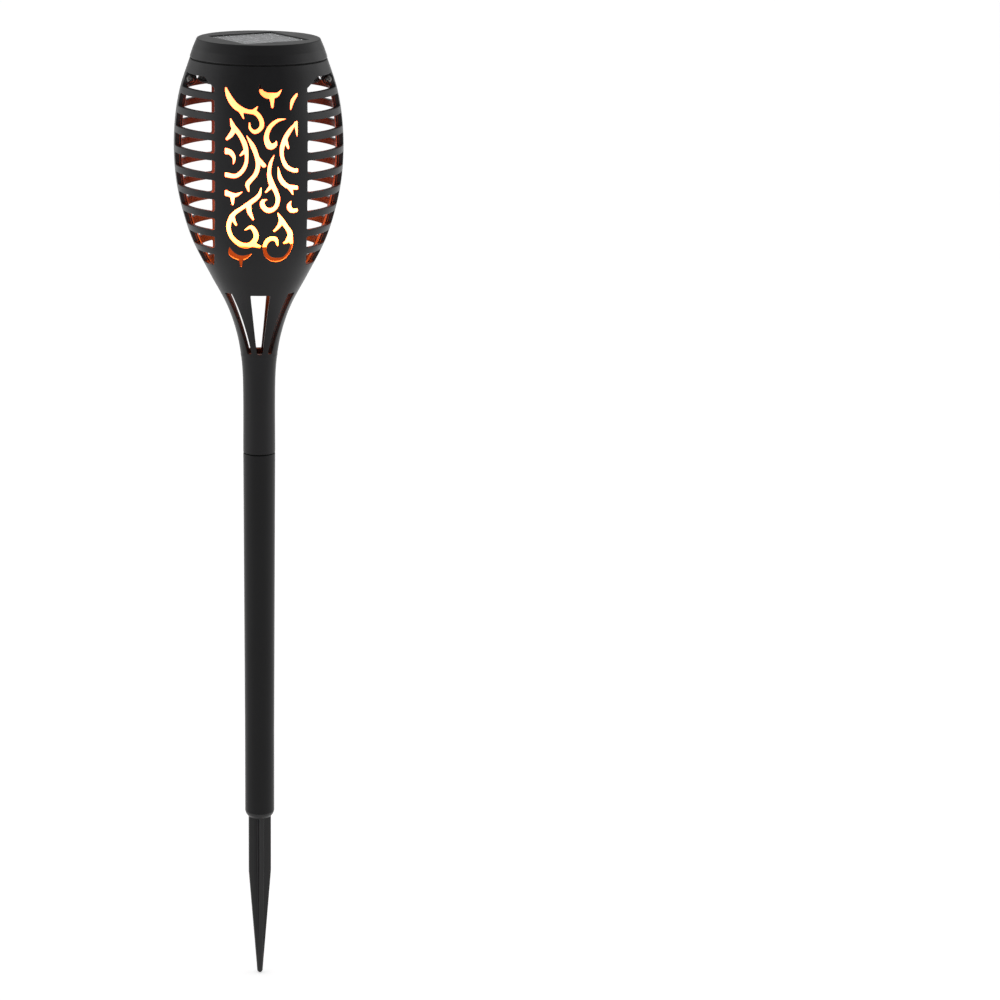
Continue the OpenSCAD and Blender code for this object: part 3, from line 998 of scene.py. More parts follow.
@dataclass
class ScrollCut(StraightCut, Cut):
    """The scrollwork of a panel: tapering strokes that flow into one another.

    A stroke's distance is that to its curve less half its width there. Strokes join by a polynomial
    smooth minimum, and the panel's border cuts them off.
    """

    strokes: Sequence[Sequence[tuple[float, float, float]]]
    top: float
    half: float = 17.5
    blend: float = 0.5
    cell: float = 0.34
    azimuth: float = 0.0
    chains: list[np.ndarray] = field(default_factory=list)

    def __post_init__(self) -> None:
        """Carries each stroke's points on a smooth curve, about a millimetre apart."""
        for stroke in self.strokes:
            p = np.array(stroke, float)
            reach = np.concatenate([[0], np.cumsum(np.hypot(*np.diff(p[:, :2], axis=0).T))])
            place = np.linspace(0, reach[-1], max(4, int(reach[-1] / 0.9)))
            line = [Curve(tuple(zip(reach, p[:, k]))).at(place) for k in range(3)]
            half_width = np.maximum(line[2], 0.2) / 2
            self.chains.append(np.stack([line[0], self.top - line[1], half_width], axis=1))

    def distance(self, across: np.ndarray, height: np.ndarray) -> np.ndarray:
        """The smooth minimum over the strokes, inside the border."""
        total = np.full(np.shape(across), FAR)
        for chain in self.chains:
            a, b = chain[:-1], chain[1:]
            span = b - a
            dx, dy = across[..., None] - a[:, 0], height[..., None] - a[:, 1]
            share = np.clip((dx * span[:, 0] + dy * span[:, 1]) / (span[:, 0] ** 2 + span[:, 1] ** 2), 0, 1)
            gap = np.hypot(dx - share * span[:, 0], dy - share * span[:, 1]) - a[:, 2] - share * span[:, 2]
            total = self._least(total, gap.min(-1))
        return -self._least(-total, self.half - np.abs(across))

    def _least(self, a: np.ndarray, b: np.ndarray) -> np.ndarray:
        """The smaller of two distances, blended where they are alike."""
        return np.minimum(a, b) - np.maximum(self.blend - np.abs(a - b), 0) ** 2 / (4 * self.blend)

    def outline(self, gaps: Sequence[float]) -> Outline:
        """Level lines of the distance, with its gradient as the ways."""
        x = np.arange(-self.half - 1.5, self.half + 1.5, self.cell)
        low = min(chain[:, 1].min() for chain in self.chains) - 2.5
        y = np.arange(low, self.top + 2.0, self.cell)
        field_values = self.distance(*np.meshgrid(x, y, indexing="ij"))
        lines = [level_lines(field_values, x, y, gap) for gap in gaps]
        starts = np.cumsum([0] + [len(points) for points, _ in lines])
        points = np.vstack([points for points, _ in lines])
        step = self.cell / 3
        ways = np.stack(
            [
                self.distance(points[:, 0] + dx, points[:, 1] + dy)
                - self.distance(points[:, 0] - dx, points[:, 1] - dy)
                for dx, dy in ((step, 0.0), (0.0, step))
            ],
            axis=1,
        )
        ways /= np.maximum(np.linalg.norm(ways, axis=1), 1e-9)[:, None]
        return Outline(
            points,
            ways,
            np.repeat(np.array(gaps, float), np.diff(starts)),
            np.vstack([pairs + start for (_, pairs), start in zip(lines, starts)]),
        )


# ---------------------------------------------------------------- half a turned wall with cuts


@dataclass
class Patch:
    """Points of one skin of a wall: where they lie flat, where they stand and how they face."""

    flat: np.ndarray
    points: np.ndarray
    normals: np.ndarray
    edges: np.ndarray
    own: np.ndarray
    gaps: np.ndarray


@dataclass(frozen=True)
class Notch:
    """A recess inside the mouth out to a radius, between two angles from the front, open at the top."""

    start: float
    end: float
    low: float = 383.7
    reach: float = 32.4
    rounding: float = 0.5

    def lines(self) -> tuple[float, float, float, float]:
        """The angles of both sides and of the lines that keep their corners narrow."""
        return self.start, self.start + self.rounding, self.end - self.rounding, self.end


@dataclass
class HalfWall:
    """The front half of a turned wall, from one height to another, with cuts through it.

    A skin's point stands at (r sin a, -r cos a, z), with a the angle from the front. Every edge is
    rounded by a quarter circle, and the faces' normals follow the formulas.
    """

    outer: Curve
    wall: float
    low: float
    high: float
    cuts: Sequence[Cut]
    notches: Sequence[Notch] = ()
    bore: float = 4.6
    bore_top: float = 196.0
    bore_slope: float = 0.55
    bead_height: float = 0.0
    bead: float = 0.0
    edge: float = 0.32
    column_step: float = 3.0
    row_step: float = 2.0
    flat_radius: float = 30.0
    clear: float = 0.45

    def radius(self, side: Side, height: np.ndarray) -> np.ndarray:
        """The radius of a skin: the outer curve with its bead, or that less the wall, or the bore."""
        bead = self.bead * np.exp(-(((height - self.bead_height) / 0.6) ** 2))
        outer = self.outer.at(height)
        if side is Side.OUTER:
            return outer + bead
        bore = self.bore + np.maximum(height - self.bore_top, 0) * self.bore_slope
        return np.minimum(outer - self.wall, bore)

    def depth(self, gap: np.ndarray) -> np.ndarray:
        """How far a quarter round lies below the skin at a gap from the edge."""
        lean = np.clip(self.edge - gap, 0, self.edge)
        return self.edge - np.sqrt(self.edge**2 - lean**2)

    def gaps(self) -> tuple[float, float, float]:
        """The gaps at which a quarter round gets its points."""
        return 0.0, self.edge * (1 - math.sqrt(0.5)), self.edge

    def _stand(
        self, side: Side, angle: np.ndarray, height: np.ndarray, gap: np.ndarray, way: np.ndarray
    ) -> tuple[np.ndarray, np.ndarray]:
        """Places points and leans their normals towards the way out at an edge."""
        sign, step = side.value, 0.05
        radius = self.radius(side, height) - sign * self.depth(gap)
        points = from_front(radius, angle, height)
        slope = (self.radius(side, height + step) - self.radius(side, height - step)) / (2 * step)
        face = unit(sign * from_front(1.0, angle, -slope))
        lean = np.clip(1 - gap / self.edge, 0, 1)[:, None]
        normals = np.sqrt(1 - lean**2) * face + lean * way
        return points, unit(normals)

    def _cut_patch(self, side: Side, outline: Outline, cut: Cut) -> Patch:
        """The edge lines of one cut on a skin."""
        across, height = outline.points.T
        surface = self.radius(side, height)
        angle = cut.angle(across, surface - side.value * self.depth(outline.gaps))
        up = np.array((0.0, 0.0, 1.0))
        way = -(cut.side_way(across) * outline.ways[:, :1] + outline.ways[:, 1:] * up)
        points, normals = self._stand(side, angle, height, outline.gaps, way)
        flat = np.stack([cut.angle(across, surface) * self.flat_radius, height], axis=1)
        return Patch(flat, points, normals, outline.edges, outline.points, outline.gaps)

    def _lines(self) -> tuple[np.ndarray, np.ndarray]:
        """The rows' heights, and the columns' angles on each row."""
        gaps = np.array(self.gaps())
        rows = np.arange(self.low + self.row_step, self.high - self.row_step / 2, self.row_step)
        extra = [self.bead_height + k * 0.4 for k in range(-3, 4)] if self.bead else []
        steps = [z for n in self.notches for z in (n.low, n.low + self.edge)]
        knees = [self.bore_top, self.bore_top + 2.0]
        rows = np.unique(np.concatenate([self.low + gaps, rows, self.high - gaps, extra, steps, knees]))
        side = np.arange(0, 90 - self.column_step / 2, self.column_step)
        steps = [a for n in self.notches for a in n.lines() if abs(a) < 88]
        middle = np.radians(np.unique(np.concatenate([-side, side, steps])))
        rim = math.pi / 2 - gaps / self.outer.at(rows)[:, None]
        columns = np.hstack([-rim, np.broadcast_to(middle, (len(rows), len(middle))), rim[:, ::-1]])
        return rows, columns

    def _field_patch(self, side: Side) -> tuple[Patch, np.ndarray]:
        """The grid of points between the cuts, and each grid place's point or -1."""
        rows, angle = self._lines()
        height = np.broadcast_to(rows[:, None], angle.shape)
        radius = self.radius(side, height)
        keep = np.ones(angle.shape, bool)
        for cut in self.cuts:
            keep &= cut.distance(cut.across(angle, radius), height) > self.edge + self.clear
        to_parting = (math.pi / 2 - np.abs(angle)) * self.outer.at(height)
        to_top, to_foot = self.high - height, height - self.low
        near = np.stack([to_parting, to_top, to_foot])
        which, gap = near.argmin(0), near.min(0)
        ways = np.array(((0.0, 1.0, 0.0), (0.0, 0.0, 1.0), (0.0, 0.0, -1.0)))[which]
        ways, gap = ways[keep], gap[keep]
        place, tall = angle[keep], height[keep]
        points, normals = self._stand(side, place, tall, np.clip(gap, 0, self.edge), ways)
        if side is Side.INNER:
            for notch in self.notches:
                start, end = math.radians(notch.start), math.radians(notch.end)
                inside = (place > start + HAIR) & (place < end - HAIR) & (tall > notch.low + HAIR)
                points[inside, :2] *= np.maximum(notch.reach / np.hypot(*points[inside, :2].T), 1)[:, None]
                beside = (place > start - HAIR) & (place < end + HAIR) & (tall > notch.low - HAIR)
                normals[beside] = 0
        index = np.full(angle.shape, -1)
        index[keep] = np.arange(keep.sum())
        joins = [index[[0, -1]], index[:, [0, -1]].T]
        for notch in self.notches if side is Side.INNER else ():
            columns = np.degrees(angle[-1])
            wide = [np.argmin(abs(columns - a)) for a in notch.lines()]
            high = [np.argmin(abs(rows - z)) for z in (notch.low, notch.low + self.edge)]
            joins += [index[high][:, wide[0] : wide[3] + 1], index[high[0] :, wide].T]
        edges = np.vstack([np.stack([j[:, :-1], j[:, 1:]], axis=-1).reshape(-1, 2) for j in joins])
        edges = edges[(edges >= 0).all(1)]
        flat = np.stack([place * self.flat_radius, tall], axis=1)
        return Patch(flat, points, normals, edges, flat, np.full(len(flat), FAR)), index

    def _triangles(self, patches: list[Patch], starts: np.ndarray) -> np.ndarray:
        """The constrained Delaunay triangles of a skin, without those inside a cut."""
        flat = np.vstack([p.flat for p in patches])
        edges = np.vstack([p.edges + start for p, start in zip(patches, starts)])
        _, _, faces, origin, _, _ = delaunay_2d_cdt(flat.tolist(), edges.tolist(), [], 0, 1e-6, True)
        first = np.array([names[0] if names else -1 for names in origin])
        triangles = first[np.array(faces)]
        crossed = int((first < 0).sum())
        if crossed:
            LOG.warning("%d crossings between edge lines", crossed)
            triangles = triangles[(triangles >= 0).all(1)]
        gaps = np.concatenate([p.gaps for p in patches])
        owner = np.concatenate([np.full(len(p.flat), k) for k, p in enumerate(patches)])
        own = np.vstack([p.own for p in patches])
        drop = np.zeros(len(triangles), bool)
        for k, cut in enumerate(self.cuts):
            inside = ((owner[triangles] == k) & (gaps[triangles] == 0)).all(1)
            middle = own[triangles[inside]].mean(1)
            drop[inside] = cut.distance(middle[:, 0], middle[:, 1]) < 0.02
        return triangles[~drop]

    def shape(self) -> Shape:
        """Both skins, the walls of the cuts, and the faces at the parting, the rim and the foot."""
        outlines = [cut.outline(self.gaps()) for cut in self.cuts]
        points, normals, faces, grids, cut_starts = [], [], [], [], []
        total = 0
        for side in Side:
            patches = [self._cut_patch(side, line, cut) for line, cut in zip(outlines, self.cuts)]
            field_patch, grid = self._field_patch(side)
            patches.append(field_patch)
            starts = np.cumsum([0] + [len(p.flat) for p in patches])
            triangles = self._triangles(patches, starts) + total
            faces.append(triangles if side is Side.OUTER else triangles[:, ::-1])
            points += [p.points for p in patches]
            normals += [p.normals for p in patches]
            grids.append(grid + starts[-2] + total)
            cut_starts.append(starts[:-1] + total)
            total += starts[-1]
        points, normals = np.vstack(points), np.vstack(normals)
        outer, inner = grids
        strips = [(outer[0], inner[0]), (outer[-1], inner[-1]), (outer[:, 0], inner[:, 0])]
        strips.append((outer[:, -1], inner[:, -1]))
        pairs = [(np.stack([o[:-1], o[1:]], 1), np.stack([i[:-1], i[1:]], 1)) for o, i in strips]
        for k, line in enumerate(outlines):
            at_edge = line.edges[(line.gaps[line.edges] == 0).all(1)]
            pairs.append((at_edge + cut_starts[0][k], at_edge + cut_starts[1][k]))
        for o, i in pairs:
            quads = np.stack([o[:, 0], o[:, 1], i[:, 1], i[:, 0]], axis=1)
            a, b, c = points[quads[:, 0]], points[quads[:, 1]], points[quads[:, 3]]
            wrong = (np.cross(b - a, c - a) * normals[quads[:, 0]]).sum(1) < 0
            quads[wrong] = quads[wrong][:, ::-1]
            faces.append(quads)
        return Shape(points, faces, normals)


# ---------------------------------------------------------------- sub-assemblies


# The scroll pattern: each stroke's points as (across, down, width), in millimetres from the panel's
# middle line and from the pattern's top
SCROLL_STROKES = (
    ((-17, 1.2, 0.3), (-16.2, 4.2, 1.8), (-14.2, 8, 2.8), (-11.2, 11, 3), (-6.8, 12.5, 2),
    (-2.8, 13.2, 2.2), (-0.2, 16.5, 2), (-0.2, 20, 2), (-3.2, 22.2, 1.8), (-5.5, 20.5, 1.2),
    (-5.8, 17.8, 0.5)),
    ((-10.2, 11.5, 2.5), (-8.5, 16.2, 0.3)),
    ((-3.5, 12.2, 1.8), (-1.8, 10, 0.3)),
    ((-0.8, 0, 0.3), (0.2, 3.5, 2), (2.5, 5, 2.8), (5, 5.2, 2.8), (7.5, 4.8, 2), (9.8, 2.5, 0.3)),
    ((5, 5.5, 2.5), (5.2, 10.5, 1)),
    ((17.2, 5, 1.2), (15, 7.8, 1.8), (14, 12, 0.4)),
    ((-14.8, 16, 0.3), (-13.5, 19.8, 2.2), (-10.5, 23.5, 2), (-8, 28.5, 2.2), (-7.2, 34.8, 1.5),
    (-8.5, 39.8, 1.8), (-12.2, 43.5, 2), (-17.5, 43.2, 2.4)),
    ((-13.2, 21.2, 2), (-14.5, 23.8, 2.2), (-16.5, 26, 1.2)),
    ((-8, 31.5, 2), (-10.2, 33.5, 0.8)),
    ((-17.5, 31.8, 3.2), (-15, 32.2, 2.5), (-13.2, 34.8, 1.5), (-13.5, 38, 0.3)),
    ((-7.2, 24, 0.3), (-4.5, 28.5, 2), (-2.5, 33.5, 2), (-1.8, 38, 2), (-2.8, 42.2, 2),
    (-4.5, 44.5, 2), (-6.8, 47.5, 2), (-6.2, 51, 0.5)),
    ((-1.5, 35.2, 1.8), (1, 38.2, 2)),
    ((11.5, 16.2, 0.4), (7.8, 16.8, 1.5), (4, 19.8, 2), (2.2, 24.8, 2.2), (3.8, 29, 3),
    (6.2, 28.5, 2.2), (7, 26.5, 0.4)),
    ((17.2, 17.5, 0.3), (14.2, 21, 1.8), (11.5, 25, 2.2), (9.8, 29.8, 2), (9.8, 34.2, 1.6),
    (11.8, 38.8, 2), (15.2, 41, 2), (17.5, 41.2, 2.1)),
    ((16.5, 18.5, 1.8), (17.2, 25, 0.3)),
    ((11.2, 26, 2), (12.8, 30.2, 0.8)),
    ((6, 33.2, 0.3), (4.2, 37.2, 1.5), (3.5, 42.2, 1.8), (4.5, 46.5, 2.5), (6.5, 50.5, 2),
    (7.8, 54.8, 2), (6.5, 59.2, 2), (3.2, 60.5, 2.5), (0.5, 58.2, 2.2), (0.5, 55.8, 1.8),
    (2.5, 55, 0.4)),
    ((4.5, 48.5, 2), (2, 51.2, 0.8)),
    ((7.8, 39, 0.3), (9, 44.8, 2), (12.2, 48.5, 2.2), (17.5, 49.8, 2.1)),
    ((13.8, 49.8, 2), (15.2, 53.2, 0.3)),
    ((-17.5, 52.2, 3), (-14.2, 53, 2.2), (-12.2, 53, 1.8), (-9.2, 51.2, 0.3)),
    ((-14, 53.5, 2.2), (-13.8, 57.8, 0.8)),
    ((14.2, 56.2, 0.4), (13.2, 58.5, 2), (14.5, 61, 2.2), (17.5, 61, 1.9)),
    ((-0.2, 49, 0.4), (-1.5, 53, 1.8), (-5, 56.2, 2.2), (-9.2, 59.2, 1.8), (-13.2, 62.5, 2),
    (-15.5, 67.2, 2), (-15.5, 71.5, 1.8), (-13.5, 75.5, 2), (-9, 78.5, 2.5), (-4.8, 77.8, 2.5),
    (-2.5, 73.5, 2.2), (-4.8, 69, 1.8), (-8, 70.5, 0.5)),
    ((-4.2, 77.8, 2.5), (-1, 79, 1.5)),
    ((-6.2, 58, 2.2), (-5.8, 61.5, 2), (-4, 65, 0.8)),
    ((-14.2, 64, 2.2), (-12.2, 68.2, 0.8)),
    ((7.8, 61.8, 0.3), (9.5, 65.2, 2), (11.8, 68.8, 2), (13.8, 72.2, 2.2), (14.2, 76, 2.2),
    (14.8, 78.5, 1.2), (13.5, 82.5, 1.2), (10.8, 85.5, 1.5), (7.2, 86.2, 2.2), (3.8, 85, 2),
    (1.8, 81.8, 1.8), (1.8, 78, 1.8), (3.8, 75.2, 2.2), (6.8, 75.2, 2), (8, 78.8, 0.5)),
    ((9.5, 65.8, 2), (8.5, 68.5, 1.8), (6.2, 71, 1)),
    ((14, 73.5, 2.2), (12.8, 76.5, 2.2), (11, 77.5, 0.8)),
    ((-15.2, 80.2, 0.4), (-14.5, 83, 2.5), (-11.5, 85, 2.5), (-8.2, 85, 2.2), (-4.5, 82.8, 0.3)),
    ((-9.8, 85.5, 2.2), (-9.5, 89.8, 0.8)),
)


def top_of(node: str) -> float:
    """The height of a CAD node's top, in millimetres."""
    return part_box(node)[1].z / METRE


def foot_of(node: str) -> float:
    """The height of a CAD node's foot, in millimetres."""
    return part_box(node)[0].z / METRE


def dress(finish: Finish, *nodes: str) -> None:
    """Gives CAD nodes that keep their own shape a finish.

    Args:
        finish: The finish.
        nodes: The nodes' names.
    """
    for node in nodes:
        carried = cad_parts[node]
        if not carried.material_slots:
            carried.data.materials.append(None)
        for place in carried.material_slots:
            place.material = finish.material()
        LOG.info("%s: dressed as %s", node, finish.slot)


@dataclass(frozen=True)
class Screw:
    """A pan-head screw with a cross recess, its head's seat at the origin and its head up."""

    head_radius: float = 1.9
    head_height: float = 1.2
    shank_radius: float = 0.98
    length: float = 13.5
    pitch: float = 0.7
    thread: float = 0.16
    sides: int = 48

    def shape(self) -> Shape:
        """Rings from the middle of the head out, down its rim, in to the shank and along the thread.

        The head is a dome less a cross: the recess is deep where one arm's width and the other's length
        both hold. The thread is a triangle wave that climbs one pitch a turn.
        """
        angle = np.linspace(0, TURN, self.sides, endpoint=False)[None, :]
        radius = np.concatenate([np.linspace(0.08, 0.86, 16), (0.93, 0.97, 1.0)])[:, None]
        radius = radius * self.head_radius
        dome = self.head_height * (1 - 0.45 * (radius / self.head_radius) ** 2)
        u, v = np.abs(radius * np.cos(angle)), np.abs(radius * np.sin(angle))
        reach, half = 0.55 * self.head_radius, 0.3
        arm = np.minimum(np.maximum(u - reach, v - half), np.maximum(v - reach, u - half))
        height = dome - 0.75 * self.head_height * np.clip(-arm / 0.12 + 0.5, 0, 1)
        rim = np.array(((1.0, 0.3), (1.0, 0.06), (0.97, 0.0)))
        rim_radius, rim_height = rim[:, :1] * self.head_radius, rim[:, 1:] * self.head_height
        along = np.arange(0.0, self.length - self.shank_radius, self.pitch / 6)[:, None]
        wave = np.abs(((along / self.pitch + angle / TURN) % 1) * 2 - 1)
        shank = self.shank_radius - self.thread * wave * (along > self.pitch)
        tip = np.array(((0.7, 0.35), (0.3, 0.75), (0.06, 1.0)))
        radii = np.vstack([
            radius + 0 * angle, rim_radius + 0 * angle, shank, tip[:, :1] * self.shank_radius + 0 * angle,
        ])
        heights = np.vstack([
            height, rim_height + 0 * angle, -along + 0 * angle,
            -(self.length - self.shank_radius) - tip[:, 1:] * self.shank_radius + 0 * angle,
        ])
        return lofted(rings_of(radii, angle, heights))


@dataclass
class Cage:
    """The barrel cage, funnel and neck: two halves of one mould that meet along the side pillars."""

    top: float
    rim: float
    seam: float
    wall: float = 2.3
    stations: tuple[tuple[float, float], ...] = (
        (9.7, 33.5), (24, 38.2), (38, 40.7), (54, 41.5), (70, 40.4), (86, 37), (100, 32.3),
        (116, 24.2), (132, 15.8), (146, 11.1), (160, 8.7), (174, 8), (207, 8),
    )
    slot_count: int = 9
    first_slot: float = 29.1
    slot_pitch: float = 9.6
    slot_height: float = 6.1
    top_slot: tuple[float, float] = (16.0, 22.7)
    top_bevel: tuple[float, float] = (7.0, 4.6)
    slot_corner: float = 0.8
    slit_corner: float = 0.4
    slit_depth: tuple[float, float] = (124.0, 155.5)
    slits: tuple[tuple[float, ...], ...] = (
        (0, 4.8, 0, 1.35, 0), (42, 2.5, 3.4, 1.1, -1.4), (-42, 2.5, -3.4, 1.1, 1.4),
    )
    bead: float = 0.1
    bead_depth: float = 157.2
    boss: tuple[float, float] = (33.2, 19.0)
    boss_radius: float = 3.0
    boss_length: float = 8.0
    rib_half: float = 6.3
    rib_depth: float = 1.1
    rib_ends: tuple[float, float] = (23.0, 120.0)
    scroll_depth: float = 18.0
    scroll: tuple[tuple[tuple[float, float, float], ...], ...] = SCROLL_STROKES

    def _outer(self) -> Curve:
        """The outer radius by height."""
        return Curve(tuple((self.top - depth, radius) for depth, radius in reversed(self.stations)))

    def _slot(
        self, high: float, low: float, hand: int, bevel: tuple[float, float] | None = None
    ) -> SlotCut:
        """One side slot between two heights, with a bevel of its own at the panel's upper corner."""
        radius = float(self._outer().at(np.array((high + low) / 2)))
        length = radius * (math.acos(SlotCut.pillar_half / radius) - math.asin(SlotCut.panel_half / radius))
        corners = [(0.0, low), (length, low), (length, high)]
        corners += [(bevel[0], high), (0.0, high - bevel[1])] if bevel else [(0.0, high)]
        return SlotCut(corners, (self.slot_corner,) * len(corners), hand=hand, length=length)

    def _cuts(self) -> list[Cut]:
        """The scrollwork, the side slots and the funnel's slits."""
        cuts: list[Cut] = [ScrollCut(self.scroll, self.top - self.scroll_depth)]
        half = self.slot_height / 2
        middles = [self.top - self.first_slot - k * self.slot_pitch for k in range(self.slot_count)]
        for hand in (1, -1):
            high, low = (self.top - depth for depth in self.top_slot)
            cuts.append(self._slot(high, low, hand, self.top_bevel))
            cuts += [self._slot(z + half, z - half, hand) for z in middles]
        high, low = (self.top - depth for depth in self.slit_depth)
        for azimuth, wide, shift, narrow, foot_shift in self.slits:
            corners = (
                (foot_shift - narrow, low), (foot_shift + narrow, low),
                (shift + wide, high), (shift - wide, high),
            )
            cuts.append(SlitCut(corners, (self.slit_corner,) * 4, azimuth=azimuth))
        return cuts

    def _spigot(self, outer: float = 6.35, bore: float = 4.62, length: float = 22.0) -> Shape:
        """Half the plug that goes down into the pole: its section carried from one side to the other."""
        foot, head = self.seam - length, self.seam + 0.4
        section = filleted(
            (
                (5.2, foot, 0), (outer, foot, 1.2), (outer, head, 0),
                (bore, head, 0), (bore, foot, 0.4), (5.1, foot, 0),
            )
        )
        angle = np.linspace(-math.pi / 2, math.pi / 2, 49)[:, None]
        return lofted(from_front(section[:, 0], angle, section[:, 1]))

    def _boss(self, hand: int) -> Shape:
        """A screw boss on the parting plane, pointing to the front."""
        wide, long = self.boss_radius, self.boss_length
        line = filleted(((0, 0.05, 0), (wide, 0.05, 0), (wide, long, 0.45), (0, long, 0)))
        across, depth = self.boss
        return turned(line, 40).turned(90, "X").moved(hand * across, 0, self.top - depth)

    def _rib(self, hand: int) -> Shape:
        """A rib inside the pillar: a band of the inner skin, carried down the wall and rounded."""
        high, low = (self.top - depth for depth in self.rib_ends)
        height = np.linspace(low, high, 60)[:, None]
        skin = self._outer().at(height) - self.wall
        deep = -self.rib_depth
        section = filleted(
            ((0.5, 0.4, 0), (1.0, 0.4, 0), (1.0, deep, 0.3), (0.0, deep, 0), (0.0, 0.4, 0)), 3
        )
        share, proud = section[:, 0][None, :], section[:, 1][None, :]
        angle = math.pi / 2 - 0.0005 - share * np.arcsin(self.rib_half / skin)
        return lofted(from_front(skin + proud, hand * angle, height))

    def _half(self, notches: Sequence[Notch]) -> Shape:
        """The front half of the cage, funnel, neck and plug."""
        wall = HalfWall(
            self._outer(), self.wall, self.seam, self.rim, self._cuts(), notches,
            bore_top=self.seam + 4, bead_height=self.top - self.bead_depth, bead=self.bead,
        )
        inner = [make(hand) for make in (self._boss, self._rib) for hand in (1, -1)]
        return Shape.joined([wall.shape(), self._spigot(), *inner])

    def build(self) -> None:
        """Makes both halves and the two screws that join them."""
        front = self._half((Notch(-0.8, 30.8),))
        rear = self._half((Notch(-60.8, -29.2), Notch(59.2, 95.0)))
        front.piece("cage_front", Body.HEAD, SHELL, ["front_shell"])
        rear.turned(180).piece("cage_rear", Body.HEAD, SHELL, ["rear_shell"])
        across, depth = self.boss
        screws = [
            Screw().shape().turned(90, "X").moved(hand * across, -self.boss_length, self.top - depth)
            for hand in (1, -1)
        ]
        Shape.joined(screws).piece("cage_screws", Body.HEAD, STEEL, ["shell_screws"], 25.0)


